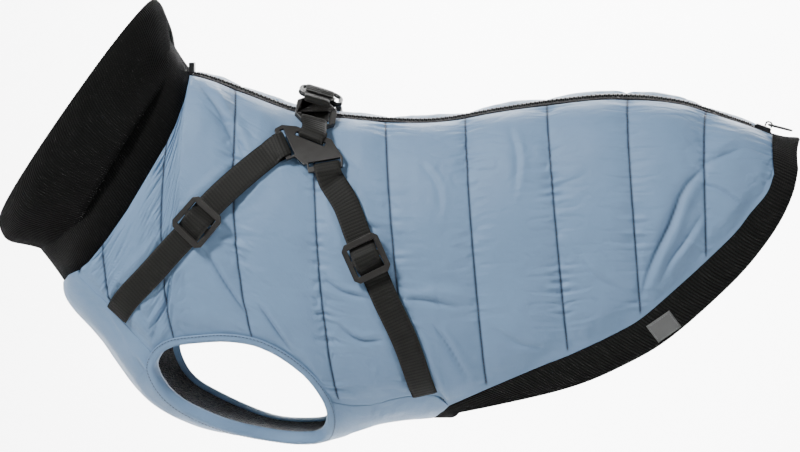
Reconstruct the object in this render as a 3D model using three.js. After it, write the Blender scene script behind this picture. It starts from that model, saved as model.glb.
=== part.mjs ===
// A dog's winter coat, filled out as if worn: a quilted shell over a fleece lining, a folded rib
// collar, a rib hem band, a zip along the back and a webbing harness sewn into the side seams.
// Millimetres, +Z up. The neck faces -X, the tail faces +X and the coat's left side faces -Y.
// The origin lies on the inside of the coat, on the wearer's back under the leash ring.

import * as THREE from 'three';

const { Vector2, Vector3, Shape } = THREE;
const RADIANS = Math.PI / 180;

// Cloth and seams
const SEAM_GAP = 0.4; // clear space between two pieces that meet at a seam
const SHELL = 1.6; // quilted shell where it is stitched flat
const PUFF = 3.6; // extra height of the filling between two stitched lines
const CHEST_PUFF = 0.5; // soft rise of the plain chest panel
const LINING_TOP = -1.3; // fleece lining, measured inward from the shell's inside
const LINING_DEPTH = 1.5;
const RIB_WALL = 2.2; // one layer of rib knit
const BAND_WALL = 3.2; // the hem band, rib folded double
const STITCHED_EDGE = 8; // flat strip beside a seam

// Zip
const ZIP_HALF = 8; // from the middle of the teeth to the panel's edge
const TEETH_HALF = 2.6;
const TEETH_HEIGHT = 2.2;
const TAPE = 1.0;
const ZIP_START = -99;
const ZIP_END = 333;
const TAPE_END = 347.4; // the tapes run on under the slider

// Harness
const WEBBING = 20;
const WEBBING_THICK = 1.4;
const PLASTIC = 2.6; // thickness of the adjusters and of the connector plate
const WIRE = 3.6; // leash ring

// Reads a short table: one object for each row, with the columns' names.
function table(names, rows) {
  return rows.map((row) => Object.fromEntries(names.map((name, i) => [name, row[i]])));
}

// Sections of the hollow from the neck to past the tail, seen from the side: the point on the
// back, the point on the belly, the half width, and how square the upper and lower halves are.
const SECTIONS = table(
  ['backX', 'backZ', 'bellyX', 'bellyZ', 'halfWidth', 'upperPower', 'lowerPower'],
  [
    [-104, 35.5, -201.5, -125, 58, 2.1, 2.1],
    [-92, 33.5, -197.5, -143, 62, 2.1, 2.2],
    [-77, 29, -168.5, -176.5, 67, 2.2, 2.3],
    [-60, 23, -134.5, -220, 71, 2.2, 2.3],
    [-40, 15, -91.5, -241, 75, 2.2, 2.4],
    [-18, 7.5, -45, -248, 78, 2.2, 2.4],
    [11, 3.5, -1.5, -250.5, 79, 2.2, 2.4],
    [50, 1, 50, -234.5, 79, 2.2, 2.4],
    [93, 1, 101.5, -229, 79, 2.2, 2.4],
    [139.5, 9.5, 156.5, -237, 79, 2.2, 2.2],
    [186, 17, 211, -236, 78, 2.2, 2.2],
    [232, 21, 261.5, -216, 76, 2.2, 2.2],
    [278, 16, 303.5, -184, 72, 2.2, 2.2],
    [316.5, 3, 339, -138, 65, 2.2, 2.2],
    [351, -9.5, 367.5, -89, 55, 2.2, 2.2],
    [374.5, -18.5, 390.5, -61.5, 43, 2.2, 2.2],
  ],
);

// How far the zip lies turned round the body towards the left, as worn.
const ZIP_TURN = table(['x', 'degrees'], [
  [-104, 2], [-65, 5], [-20, 4], [20, 4], [52, 6], [114, 6], [176, 8], [237, 9], [297, 6],
  [333, 2], [368, 0],
]);

// Neck seam: how far along the sections it lies at each angle round the neck, from the nape.
const NECK_SEAM = table(['angle', 'along'], [
  [0, 0.05], [18, 0.5], [35, 1.05], [50, 1.33], [60, 1.4], [76, 1.37], [92, 1.33],
  [108, 1.22], [122, 1.08], [131, 0.9], [143, 0.52], [180, 0.05],
]);

// Seams of the left side seen from the side.
const CHEST_SEAM = table(['x', 'z'], [
  [-183.8, -115], [-165.7, -130.5], [-159, -136], [-142, -154.8], [-124.5, -174.5],
]);
const BELLY_SEAM = table(['x', 'z'], [
  [12, -208], [30, -212], [46, -211.5], [60, -207], [78, -203.5], [98, -204.5], [104, -212.5],
]);
const HEM_SEAM = table(['x', 'z'], [
  [104, -212.5], [134, -197], [176.5, -177], [195.5, -169], [233.5, -150], [249, -140.5],
  [275, -117.5], [297.5, -96.5], [321, -73], [329.5, -61.5], [342.5, -46], [347.5, -33],
]);

// Leg hole: the binding's outer edge seen from the side, round from its front end.
const LEG_HOLE = table(['x', 'z'], [
  [-124, -174], [-119, -168], [-109, -162], [-98.5, -159.3], [-84, -157.3], [-67, -155.7],
  [-44, -157.7], [-26, -164.3], [-9.5, -175], [2.5, -186], [11.5, -199.5], [16.5, -212.5],
  [15.5, -228.5], [7, -241.5], [-13, -245.5], [-51, -240.5], [-88, -227], [-113, -213],
  [-126.5, -196], [-128.5, -184],
]);

const BELLY_END = BELLY_SEAM.at(-1).x;

// Outer edge of the hem band seen from the side, from the belly to the tail.
const HEM_EDGE = table(['x', 'z'], [
  [112, -220], [143, -211.5], [174, -203], [204, -193], [234, -179.5], [264, -162],
  [294, -136.5], [323, -108.5], [338, -90.5], [352.5, -69], [362.5, -46.5], [366.5, -30],
]);

// Where the chest panel's middle line lies for a place on its side seam.
const CHEST_MIDDLE = table(['seam', 'middle'], [
  [0.9, 0.05], [1.6, 0.8], [2.4, 1.8], [2.9, 2.45], [3.4, 3.1], [4.9, 4.85], [6.3, 6.4],
  [7.2, 7.05], [8.1, 7.75],
]);

// Interpolates column `name` of evenly spaced rows with a smooth curve.
function smooth(rows, name, at) {
  const last = rows.length - 1;
  const clamped = Math.min(Math.max(at, 0), last);
  const i = Math.min(Math.floor(clamped), last - 1);
  const f = clamped - i;
  const value = (k) => rows[k][name];
  const b = value(i);
  const c = value(i + 1);
  const a = i > 0 ? value(i - 1) : 2 * b - c;
  const d = i < last - 1 ? value(i + 2) : 2 * c - b;
  return 0.5 * (2 * b + (c - a) * f + (2 * a - 5 * b + 4 * c - d) * f * f
    + (3 * b - a - 3 * c + d) * f * f * f);
}

// Interpolates column `name` of rows whose column `key` rises, in straight lines.
function lookup(rows, key, name, at) {
  let i = 0;
  while (i < rows.length - 2 && rows[i + 1][key] < at) i += 1;
  const low = rows[i];
  const high = rows[i + 1];
  const f = Math.min(Math.max((at - low[key]) / (high[key] - low[key]), 0), 1);
  return low[name] + (high[name] - low[name]) * f;
}

// A point of the hollow's left half; the angle is 0 on the back and PI on the belly.
function bodyPoint(along, angle) {
  const half = Math.cos(angle) >= 0 ? 'upperPower' : 'lowerPower';
  const power = smooth(SECTIONS, half, along);
  const cosine = Math.abs(Math.cos(angle));
  const sine = Math.abs(Math.sin(angle));
  const radius = (cosine ** power + sine ** power) ** (-1 / power);
  const down = (1 - radius * Math.cos(angle)) / 2;
  const backX = smooth(SECTIONS, 'backX', along);
  const backZ = smooth(SECTIONS, 'backZ', along);
  const bellyX = smooth(SECTIONS, 'bellyX', along);
  const bellyZ = smooth(SECTIONS, 'bellyZ', along);
  const width = smooth(SECTIONS, 'halfWidth', along) * radius * Math.sin(angle);
  return new Vector3(backX + (bellyX - backX) * down, -width, backZ + (bellyZ - backZ) * down);
}

// The point with its outward normal and its two directions on the surface.
function bodyFrame(along, angle) {
  const d = 0.01;
  const lengthways = bodyPoint(along + d, angle).sub(bodyPoint(along - d, angle)).divideScalar(2 * d);
  const round = bodyPoint(along, angle + d).sub(bodyPoint(along, angle - d)).divideScalar(2 * d);
  const normal = new Vector3().crossVectors(lengthways, round).normalize().negate();
  return { along, angle, point: bodyPoint(along, angle), normal, lengthways, round };
}

// Moves over the surface from a place by a vector, to the nearest place that does so.
function stepOver(place, move) {
  let { along, angle } = place;
  const parts = 3;
  for (let i = 0; i < parts; i += 1) {
    const frame = bodyFrame(along, angle);
    const a = frame.lengthways;
    const b = frame.round;
    const aa = a.dot(a);
    const ab = a.dot(b);
    const bb = b.dot(b);
    const am = a.dot(move) / parts;
    const bm = b.dot(move) / parts;
    const det = aa * bb - ab * ab;
    along += (am * bb - bm * ab) / det;
    angle += (bm * aa - am * ab) / det;
  }
  return { along, angle };
}

// Finds the place on the left half that is seen at (x, z) from the side.
function placeAt({ x, z }) {
  const behind = (along) => {
    const backX = smooth(SECTIONS, 'backX', along);
    const backZ = smooth(SECTIONS, 'backZ', along);
    const bellyX = smooth(SECTIONS, 'bellyX', along);
    const bellyZ = smooth(SECTIONS, 'bellyZ', along);
    return (bellyX - backX) * (z - backZ) - (bellyZ - backZ) * (x - backX) > 0;
  };
  let low = 0;
  let high = SECTIONS.length - 1;
  const atNeck = behind(low);
  for (let i = 0; i < 40; i += 1) {
    const middle = (low + high) / 2;
    if (behind(middle) === atNeck) low = middle;
    else high = middle;
  }
  const along = (low + high) / 2;
  const back = bodyPoint(along, 0);
  const belly = bodyPoint(along, Math.PI);
  const drop = ((x - back.x) * (belly.x - back.x) + (z - back.z) * (belly.z - back.z))
    / ((belly.x - back.x) ** 2 + (belly.z - back.z) ** 2);
  const cosine = Math.min(Math.max(1 - 2 * drop, -1), 1);
  const power = smooth(SECTIONS, cosine >= 0 ? 'upperPower' : 'lowerPower', along);
  const sine = (1 - Math.abs(cosine) ** power) ** (1 / power);
  return { along, angle: Math.atan2(sine, cosine) };
}

// The place on the back at distance x, a given width to the left of the zip's middle line.
function backPlace(x, width, side = 1) {
  let low = 0;
  let high = SECTIONS.length - 1;
  for (let i = 0; i < 40; i += 1) {
    const middle = (low + high) / 2;
    if (smooth(SECTIONS, 'backX', middle) < x) low = middle;
    else high = middle;
  }
  const along = (low + high) / 2;
  const turn = lookup(ZIP_TURN, 'x', 'degrees', x) * RADIANS * side;
  return { along, angle: turn + Math.asin(width / smooth(SECTIONS, 'halfWidth', along)) };
}

function neckPlace(degrees) {
  return { along: lookup(NECK_SEAM, 'angle', 'along', degrees), angle: degrees * RADIANS };
}

function mixPlace(a, b, f) {
  return { along: a.along + (b.along - a.along) * f, angle: a.angle + (b.angle - a.angle) * f };
}

// Turns triangles into one geometry, with equal corners shared and collapsed faces left out.
function meshOf(triangles) {
  const index = new Map();
  const positions = [];
  const faces = [];
  const shared = (p) => {
    const key = [p.x, p.y, p.z].map((v) => Math.round(v * 1000)).join(' ');
    if (!index.has(key)) {
      index.set(key, positions.length / 3);
      positions.push(p.x, p.y, p.z);
    }
    return index.get(key);
  };
  for (const corners of triangles) {
    const [a, b, c] = corners.map(shared);
    if (a !== b && b !== c && c !== a) faces.push(a, b, c);
  }
  const geometry = new THREE.BufferGeometry();
  geometry.setAttribute('position', new THREE.Float32BufferAttribute(positions, 3));
  geometry.setIndex(faces);
  return facingOut(geometry);
}

// Turns the faces round if the closed surface encloses a negative volume.
function facingOut(geometry) {
  const position = geometry.getAttribute('position');
  const index = geometry.getIndex();
  const corner = (k) => new Vector3().fromBufferAttribute(position, index.getX(k));
  let volume = 0;
  for (let k = 0; k < index.count; k += 3) {
    volume += corner(k).dot(corner(k + 1).cross(corner(k + 2)));
  }
  if (volume < 0) {
    const turned = Array.from(index.array);
    for (let k = 0; k < turned.length; k += 3) {
      [turned[k + 1], turned[k + 2]] = [turned[k + 2], turned[k + 1]];
    }
    geometry.setIndex(turned);
  }
  geometry.computeVertexNormals();
  return geometry;
}

// A closed wall from a grid of { outer, inner } points. `tube` joins the last line to the first.
function wall(grid, tube = false) {
  const triangles = [];
  const quad = (a, b, c, d) => triangles.push([a, b, c], [a, c, d]);
  const lines = tube ? [...grid, grid[0]] : grid;
  const across = grid[0].length - 1;
  for (let i = 0; i < lines.length - 1; i += 1) {
    const near = lines[i];
    const far = lines[i + 1];
    for (let j = 0; j < across; j += 1) {
      quad(near[j].outer, far[j].outer, far[j + 1].outer, near[j + 1].outer);
      quad(near[j].inner, near[j + 1].inner, far[j + 1].inner, far[j].inner);
    }
    quad(near[0].inner, far[0].inner, far[0].outer, near[0].outer);
    quad(near[across].outer, far[across].outer, far[across].inner, near[across].inner);
  }
  if (!tube) {
    const first = grid[0];
    const last = grid[grid.length - 1];
    for (let j = 0; j < across; j += 1) {
      quad(first[j].inner, first[j].outer, first[j + 1].outer, first[j + 1].inner);
      quad(last[j].outer, last[j].inner, last[j + 1].inner, last[j + 1].outer);
    }
  }
  return meshOf(triangles);
}

// A closed body from rings of points, each ring a closed loop. `loop` joins the last to the first.
function sweep(rings, loop = false) {
  const triangles = [];
  const lines = loop ? [...rings, rings[0]] : rings;
  const count = rings[0].length;
  for (let i = 0; i < lines.length - 1; i += 1) {
    for (let j = 0; j < count; j += 1) {
      const k = (j + 1) % count;
      triangles.push([lines[i][j], lines[i + 1][j], lines[i + 1][k]]);
      triangles.push([lines[i][j], lines[i + 1][k], lines[i][k]]);
    }
  }
  if (!loop) {
    for (let j = 1; j < count - 1; j += 1) {
      triangles.push([rings[0][0], rings[0][j], rings[0][j + 1]]);
      const last = rings[rings.length - 1];
      triangles.push([last[0], last[j + 1], last[j]]);
    }
  }
  return meshOf(triangles);
}

// The same piece for the other side of the coat.
function mirrored(geometry) {
  const copy = geometry.clone();
  copy.scale(1, -1, 1);
  return facingOut(copy);
}

function raised(place, height) {
  const { point, normal } = bodyFrame(place.along, place.angle);
  return point.addScaledVector(normal, height);
}

// Points a smooth line through table rows, seen from the side.
function sideLine(rows, count, closed = false) {
  const curve = new THREE.CatmullRomCurve3(rows.map(({ x, z }) => new Vector3(x, 0, z)), closed);
  const points = curve.getPoints(count);
  return closed ? points.slice(0, -1) : points;
}

// Leg hole

const HOLE_STEPS = 36;

// The binding's outer edge, with the direction away from the hole over the cloth.
function holeEdge() {
  const places = sideLine(LEG_HOLE, HOLE_STEPS, true).map(placeAt);
  return places.map((place, i) => {
    const before = bodyPoint(places.at(i - 1).along, places.at(i - 1).angle);
    const after = places[(i + 1) % places.length];
    const run = bodyPoint(after.along, after.angle).sub(before);
    const { normal } = bodyFrame(place.along, place.angle);
    return { place, away: run.cross(normal).normalize().negate() };
  });
}

const HOLE = holeEdge();
const RAW_INSET = 3.9; // from the binding's outer edge to the cloth's cut edge
const RAW_EDGE = HOLE.map(({ place, away }) => (
  stepOver(place, away.clone().multiplyScalar(-RAW_INSET))
));

function nearestOnHole(target) {
  const goal = placeAt(target);
  const point = bodyPoint(goal.along, goal.angle);
  const distance = (place) => bodyPoint(place.along, place.angle).distanceTo(point);
  const nearer = (best, place, i) => (distance(place) < distance(RAW_EDGE[best]) ? i : best);
  return RAW_EDGE.reduce(nearer, 0);
}

const FRONT_MEET = nearestOnHole(CHEST_SEAM.at(-1));
const REAR_MEET = nearestOnHole(BELLY_SEAM[0]);

function holeArc(from, to) {
  const arc = [];
  for (let i = from; i !== to; i = (i + 1) % HOLE_STEPS) arc.push(RAW_EDGE[i]);
  arc.push(RAW_EDGE[to]);
  return arc;
}

const UPPER_ARC = holeArc(FRONT_MEET, REAR_MEET);
const LOWER_ARC = holeArc(REAR_MEET, FRONT_MEET).reverse();

// Lower border of a side panel: chest seam, over the leg hole, belly seam, hem seam.
const seenAt = (place) => bodyPoint(place.along, place.angle);
const LOW_BORDER = [
  ...sideLine(CHEST_SEAM.slice(0, -1), 12),
  ...UPPER_ARC.map(seenAt),
  ...sideLine(BELLY_SEAM.slice(1), 24),
  ...sideLine(HEM_SEAM, 44).slice(1),
].map(({ x, z }) => ({ x, z }));

// Side panels

// Columns of a side panel from the throat to the tail. The upper end lies on the neck seam at
// an angle, or on the zip at a place along the back; the lower end lies on the lower seams.
const STATIONS = table(['neckAngle', 'backX', 'lowX', 'steps', 'stitched'], [
  [129, null, -181.5, 4, true],
  [111, null, -154.5, 3, true],
  [74, null, seenAt(RAW_EDGE[FRONT_MEET]).x, 2, false],
  [60, null, -104.5, 6, true],
  [null, -101, -84, 3, false],
  [null, -65, -43, 5, true],
  [null, -12, seenAt(RAW_EDGE[REAR_MEET]).x, 1, false],
  [null, -4, 21, 5, true],
  [null, 52, 77, 3, true],
  [null, 91, BELLY_END, 2, false],
  [null, 114, 134, 5, true],
  [null, 176.5, 195.5, 5, true],
  [null, 237.5, 249.5, 5, true],
  [null, 297, 297.5, 4, true],
  [null, 348, 347.5, 0, true],
]);

const ROWS_BETWEEN = 5;

// The upper end of a column, a share of the way from one station to the next.
function topPlace(station, next, share, side) {
  const mix = (a, b) => a + (b - a) * share;
  if (station.neckAngle === null) return backPlace(mix(station.backX, next.backX), ZIP_HALF, side);
  const corner = backPlace(next.backX ?? 0, ZIP_HALF, side).angle / RADIANS;
  return neckPlace(mix(station.neckAngle, next.neckAngle ?? corner));
}

// Columns of a side panel as places, with the height of the filling from 0 to 1. Both sides
// are worked out on the left half; on the right side the zip's turn goes the other way.
function sideColumns(side) {
  const columns = [];
  STATIONS.forEach((station, s) => {
    const next = STATIONS[s + 1] ?? station;
    for (let k = 0; k < Math.max(station.steps, 1); k += 1) {
      const share = station.steps > 0 ? k / station.steps : 0;
      const top = topPlace(station, next, share, side);
      const lowX = station.lowX + (next.lowX - station.lowX) * share;
      const low = placeAt({ x: lowX, z: lookup(LOW_BORDER, 'x', 'z', lowX) });
      const reach = (bodyPoint(top.along, top.angle).x + lowX) / 2;
      columns.push({ top, low, reach, station: k === 0 ? station : null });
    }
  });
  fillBetweenStitches(columns);
  return columns;
}

// The filling rises from each stitched line and falls to the next one.
function fillBetweenStitches(columns) {
  let start = 0;
  for (let i = 1; i < columns.length; i += 1) {
    if (columns[i].station?.stitched) {
      const width = columns[i].reach - columns[start].reach;
      for (let k = start; k <= i; k += 1) {
        const share = (columns[k].reach - columns[start].reach) / width;
        columns[k].fill = Math.max(Math.sin(Math.PI * share), 0) ** 0.6;
      }
      start = i;
    }
  }
}

const LEFT = 1;
const RIGHT = -1;
const SIDE_COLUMNS = { [LEFT]: sideColumns(LEFT), [RIGHT]: sideColumns(RIGHT) };

const ROUNDED_EDGE = 4; // from the zip to where the filling is nearly full
const SHARE_AT_ZIP = 0.75;
const SHARE_AT_STRIP = 0.12;

// Fractions down a column: the filling starts at once beside the zip, and after a flat strip
// beside the lower seams.
function rowsDown(column) {
  const { top, low } = column;
  const length = bodyPoint(top.along, top.angle).distanceTo(bodyPoint(low.along, low.angle)) * 1.2;
  const first = Math.min(ROUNDED_EDGE / length, 0.15);
  const last = 1 - Math.min(STITCHED_EDGE / length, 0.3);
  const rows = [0];
  for (let r = 0; r <= ROWS_BETWEEN; r += 1) rows.push(first + (last - first) * (r / ROWS_BETWEEN));
  rows.push(1);
  return rows;
}

// The link between the bridge and the connector plate presses the filling flat under itself.
const PRESSED = { x: -3, y: 36, halfX: 19, halfY: 11 };

function leftByLink(place) {
  const { x, y } = bodyPoint(place.along, place.angle);
  const a = Math.abs((x - PRESSED.x) / PRESSED.halfX);
  const b = Math.abs((Math.abs(y) - PRESSED.y) / PRESSED.halfY);
  return Math.min(Math.max(a, b, 1.1) - 1.1, 1);
}

// How much of the filling's depth a row has: none on the borders and little next to them.
function shareOfRow(row, last) {
  if (row === 0 || row === last) return 0;
  if (row === 1) return SHARE_AT_ZIP;
  return row === last - 1 ? SHARE_AT_STRIP : 1;
}

function sidePanel(side) {
  return wall(SIDE_COLUMNS[side].map((column) => {
    const rows = rowsDown(column);
    return rows.map((f, row) => {
      const place = mixPlace(column.top, column.low, f);
      const share = shareOfRow(row, rows.length - 1) * column.fill * leftByLink(place);
      return { inner: raised(place, 0), outer: raised(place, SHELL + PUFF * share) };
    });
  }));
}

// The lining has the shell's columns round the leg hole and every second one towards the tail.
function sideLining(side) {
  const columns = SIDE_COLUMNS[side];
  const rear = columns.findIndex((column) => column.station?.lowX === BELLY_END);
  const last = columns.length - 1;
  const kept = columns.filter((_, i) => i <= rear + 3 || (i - rear) % 2 === 1 || i === last);
  return wall(kept.map((column) => rowsDown(column).map((f) => {
    const place = mixPlace(column.top, column.low, f);
    return { outer: raised(place, LINING_TOP), inner: raised(place, LINING_TOP - LINING_DEPTH) };
  })));
}

// Chest panel

const CHEST_ROWS = 5; // from a side seam to the middle line
const THROAT_CORNER = neckPlace(131);

// The chest panel's side border from the neck seam to the hem, as places.
function chestBorder() {
  const chestEnd = seenAt(RAW_EDGE[FRONT_MEET]).x - 2;
  const bellyStart = seenAt(RAW_EDGE[REAR_MEET]).x + 2;
  const lowX = ({ low }) => bodyPoint(low.along, low.angle).x;
  const end = STATIONS.findIndex((station) => station.lowX === BELLY_END);
  const last = SIDE_COLUMNS[LEFT].findIndex((column) => column.station === STATIONS[end]);
  const seam = SIDE_COLUMNS[LEFT].slice(0, last + 1);
  return [
    THROAT_CORNER,
    ...seam.filter((column) => lowX(column) < chestEnd).map(({ low }) => low),
    ...LOWER_ARC,
    ...seam.filter((column) => lowX(column) > bellyStart).map(({ low }) => low),
  ];
}

// Each border place with `order`, which always grows towards the hem.
const CHEST_BORDER = chestBorder().reduce((ordered, place) => {
  const before = ordered.at(-1)?.order ?? 0;
  return [...ordered, { ...place, order: Math.max(before + 0.05, place.along) }];
}, []);

// One line across the chest panel from the left seam to the middle and on to the right seam.
function chestLine(border) {
  const middle = lookup(CHEST_MIDDLE, 'seam', 'middle', border.order);
  const places = [];
  for (let r = 0; r <= CHEST_ROWS; r += 1) {
    const f = r / CHEST_ROWS;
    const angle = border.angle + (Math.PI - border.angle) * f;
    const along = middle + (border.along - middle) * (1 - f) ** 2;
    places.push(border === CHEST_BORDER[0] ? neckPlace(angle / RADIANS) : { along, angle });
  }
  return places;
}

// Heights over the left half, then the same over the right half.
function acrossChest(border, height) {
  const left = chestLine(border).map((place, r) => {
    const inset = r === 0 ? stepOver(place, seamStep(place)) : place;
    return raised(inset, height(r / CHEST_ROWS));
  });
  const right = left.slice(0, -1).map(({ x, y, z }) => new Vector3(x, -y, z)).reverse();
  return [...left, ...right];
}

// A short step from a side seam towards the middle of the chest.
function seamStep(place) {
  const { round } = bodyFrame(place.along, place.angle);
  return round.normalize().multiplyScalar(SEAM_GAP);
}

function chestWall(columns, top, bottom) {
  return wall(columns.map((border) => {
    const outer = acrossChest(border, top);
    const inner = acrossChest(border, bottom);
    return outer.map((point, i) => ({ outer: point, inner: inner[i] }));
  }));
}

function chestPanel() {
  return chestWall(CHEST_BORDER, (f) => SHELL + CHEST_PUFF * Math.sin(f * Math.PI / 2), () => 0);
}

function chestLining() {
  return chestWall(CHEST_BORDER, () => LINING_TOP, () => LINING_TOP - LINING_DEPTH);
}

// Leg binding: a strip folded round the hole's cut edge, lying on the shell and on the lining.
const BINDING_SECTION = table(['in', 'height'], [
  [0, 2.5], [0, 3.6], [5.2, 3.6], [6.7, 2.4], [6.7, -5], [5.2, -6], [0, -6], [0, -4.9],
  [5.8, -4.9], [5.8, 2.4],
]);

function legBinding() {
  return sweep(HOLE.map(({ place, away }) => BINDING_SECTION.map((corner) => {
    const move = away.clone().multiplyScalar(-corner.in);
    return raised(stepOver(place, move), corner.height);
  })), true);
}

// Hem band: from the left tail end under the belly to the right tail end.

const HEM_GAP_AT_ZIP = 3; // half of the gap between the band's two ends
const BAND_RISE = -1.4; // the band's inside, measured from the shell's inside

// The band's seam edge on one half, from the belly's middle to the zip.
function hemSeamPlaces(side) {
  const chest = chestLine(CHEST_BORDER.at(-1)).reverse().slice(0, -1);
  const columns = SIDE_COLUMNS[side];
  const start = columns.findIndex((column) => column.station?.lowX === BELLY_END);
  const low = columns.slice(start).map((column) => column.low);
  const tail = columns.at(-1);
  const up = rowsDown(tail).slice(1, -1).reverse().map((f) => mixPlace(tail.top, tail.low, f));
  return [...chest, ...low, ...up, tail.top, backPlace(348.5, HEM_GAP_AT_ZIP, side)];
}

// The band's free edge beside each seam place, by the share of the way along.
function hemEdgePlaces(seam, side) {
  const free = [
    { along: 8.05, angle: Math.PI }, { along: 8.08, angle: 165 * RADIANS },
    ...sideLine(HEM_EDGE, 40).map(placeAt), backPlace(368, HEM_GAP_AT_ZIP, side),
  ];
  const points = free.map(({ along, angle }) => bodyPoint(along, angle));
  const lengths = shares(points);
  const marks = shares(seam.map(({ along, angle }) => bodyPoint(along, angle)));
  const rows = free.map((place, i) => ({ ...place, share: lengths[i] }));
  return marks.map((share) => ({
    along: lookup(rows, 'share', 'along', share),
    angle: lookup(rows, 'share', 'angle', share),
  }));
}

// How far along a line each of its points lies, from 0 to 1.
function shares(points) {
  const run = [0];
  points.slice(1).forEach((point, i) => run.push(run[i] + point.distanceTo(points[i])));
  return run.map((length) => length / run.at(-1));
}

// Half of the band, as lines across it from the seam to the folded edge.
function hemHalf(side) {
  const seam = hemSeamPlaces(side);
  const edge = hemEdgePlaces(seam, side);
  const flip = ({ x, y, z }) => new Vector3(x, y * side, z);
  const middle = BAND_RISE + BAND_WALL / 2;
  return seam.map((place, i) => {
    const width = raised(place, 0).distanceTo(raised(edge[i], 0));
    const across = [[SEAM_GAP / width, 1], [0.5, 1], [0.9, 1], [1, 0.55]];
    return across.map(([f, thickness]) => {
      const spot = mixPlace(place, edge[i], f);
      const half = (BAND_WALL / 2) * thickness;
      return { outer: flip(raised(spot, middle + half)), inner: flip(raised(spot, middle - half)) };
    });
  });
}

function hemBand() {
  return wall([...hemHalf(RIGHT).slice(1).reverse(), ...hemHalf(LEFT)]);
}

// Collar: one tube of rib knit that rises from the neck seam and is folded down outside.

const COLLAR_ROUND = 36;

// Sections of the collar from the neck seam up to the fold and down outside to its hem.
const COLLAR = table(['napeX', 'napeZ', 'throatX', 'throatZ', 'halfWidth'], [
  [-114, 54, -209, -117, 57],
  [-122.5, 69, -222, -100, 58],
  [-128.5, 86, -239, -84, 60],
  [-130.5, 93.5, -250, -76, 62],
  [-125.5, 88, -252.5, -84, 65],
  [-120, 74, -246, -95.5, 66],
  [-117, 56, -225, -100, 65],
  [-111.5, 46.5, -203.5, -105, 63],
]);
const COLLAR_POWER = 2.15;

// A point of a collar section; the angle is 0 at the nape and PI at the throat.
function collarPoint(row, angle) {
  const cosine = Math.abs(Math.cos(angle));
  const sine = Math.abs(Math.sin(angle));
  const radius = (cosine ** COLLAR_POWER + sine ** COLLAR_POWER) ** (-1 / COLLAR_POWER);
  const down = (1 - radius * Math.cos(angle)) / 2;
  return new Vector3(
    row.napeX + (row.throatX - row.napeX) * down,
    -row.halfWidth * radius * Math.sin(angle),
    row.napeZ + (row.throatZ - row.napeZ) * down,
  );
}

// The collar's first line stands against the panels' edges all round the neck.
const COLLAR_ROWS_CENTRE = new Vector3(-172, 0, -20);
const NECK_ROW = { napeX: -105, napeZ: 36, throatX: -203, throatZ: -126, halfWidth: 57 };
const FOLD_ROW = 3;
const NECK_GAP = 0.8;
const NECK_RISE = -0.8; // the collar's inside at the seam, measured from the shell's inside

function neckEdge(angle) {
  const onLeft = angle <= Math.PI ? angle : 2 * Math.PI - angle;
  const place = neckPlace(onLeft / RADIANS);
  const { point, normal, round } = bodyFrame(place.along, place.angle);
  const next = neckPlace(Math.min(onLeft / RADIANS + 2, 180));
  const run = raised(next, 0).sub(point);
  const seamward = onLeft > 178 * RADIANS ? round : run;
  const away = new Vector3().crossVectors(seamward, normal).normalize();
  point.addScaledVector(away, NECK_GAP);
  const flip = ({ x, y, z }) => new Vector3(x, angle <= Math.PI ? y : -y, z);
  const at = (height) => flip(point.clone().addScaledVector(normal, height));
  return { outer: at(NECK_RISE + RIB_WALL), inner: at(NECK_RISE) };
}

// One line of the folded tube, from the neck seam up inside, over the fold and down outside.
function collarLine(angle) {
  const points = COLLAR.map((row) => collarPoint(row, angle));
  const centre = COLLAR_ROWS_CENTRE;
  const line = points.map((point, k) => {
    const before = k > 0 ? points[k - 1] : collarPoint(NECK_ROW, angle);
    const after = points[Math.min(k + 1, points.length - 1)];
    const run = after.clone().sub(before).normalize();
    const out = point.clone().sub(centre);
    out.addScaledVector(run, -out.dot(run)).normalize();
    if (k === FOLD_ROW) out.copy(point).sub(before.clone().add(after).divideScalar(2)).normalize();
    const sign = k < FOLD_ROW ? -1 : 1;
    const half = out.multiplyScalar((RIB_WALL / 2) * (k === FOLD_ROW ? 1 : sign));
    return { outer: point.clone().add(half), inner: point.clone().sub(half) };
  });
  const edge = neckEdge(angle);
  return [{ outer: edge.inner, inner: edge.outer }, ...line];
}

function collar() {
  const lines = [];
  for (let i = 0; i < COLLAR_ROUND; i += 1) lines.push(collarLine((i / COLLAR_ROUND) * 2 * Math.PI));
  return wall(lines, true);
}

// Zip

const ZIP_STEPS = 26;

// A strip along the zip between two distances to the left of the zip's middle line.
function zipStrip(from, to, bottom, top, end) {
  const lines = [];
  for (let i = 0; i <= ZIP_STEPS; i += 1) {
    const x = ZIP_START + (end - ZIP_START) * (i / ZIP_STEPS);
    lines.push([from, to].map((width) => {
      const place = backPlace(x, width);
      return { outer: raised(place, top), inner: raised(place, bottom) };
    }));
  }
  return wall(lines);
}

const TEETH_RISE = -0.4;

function zipTeeth() {
  return zipStrip(-TEETH_HALF, TEETH_HALF, TEETH_RISE, TEETH_RISE + TEETH_HEIGHT, ZIP_END);
}

function zipTape(side) {
  const near = (TEETH_HALF + SEAM_GAP) * side;
  const far = (ZIP_HALF - SEAM_GAP) * side;
  return zipStrip(Math.min(near, far), Math.max(near, far), 0, TAPE, TAPE_END);
}

// Flat map of the surface round a place: `across` runs along the coat and leans down towards the
// tail, `up` runs towards the back. Heights are measured from the shell's inside.
function surfaceMap({ x, z }, lean) {
  const centre = placeAt({ x, z });
  const { normal } = bodyFrame(centre.along, centre.angle);
  const level = new Vector3(Math.cos(lean), 0, -Math.sin(lean));
  const across = level.addScaledVector(normal, -level.dot(normal)).normalize();
  const up = new Vector3().crossVectors(normal, across).normalize();
  if (up.z < 0) up.negate();
  const place = (a, b) => stepOver(centre, across.clone().multiplyScalar(a).addScaledVector(up, b));
  return { place, at: (a, b, height) => raised(place(a, b), height) };
}

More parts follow.
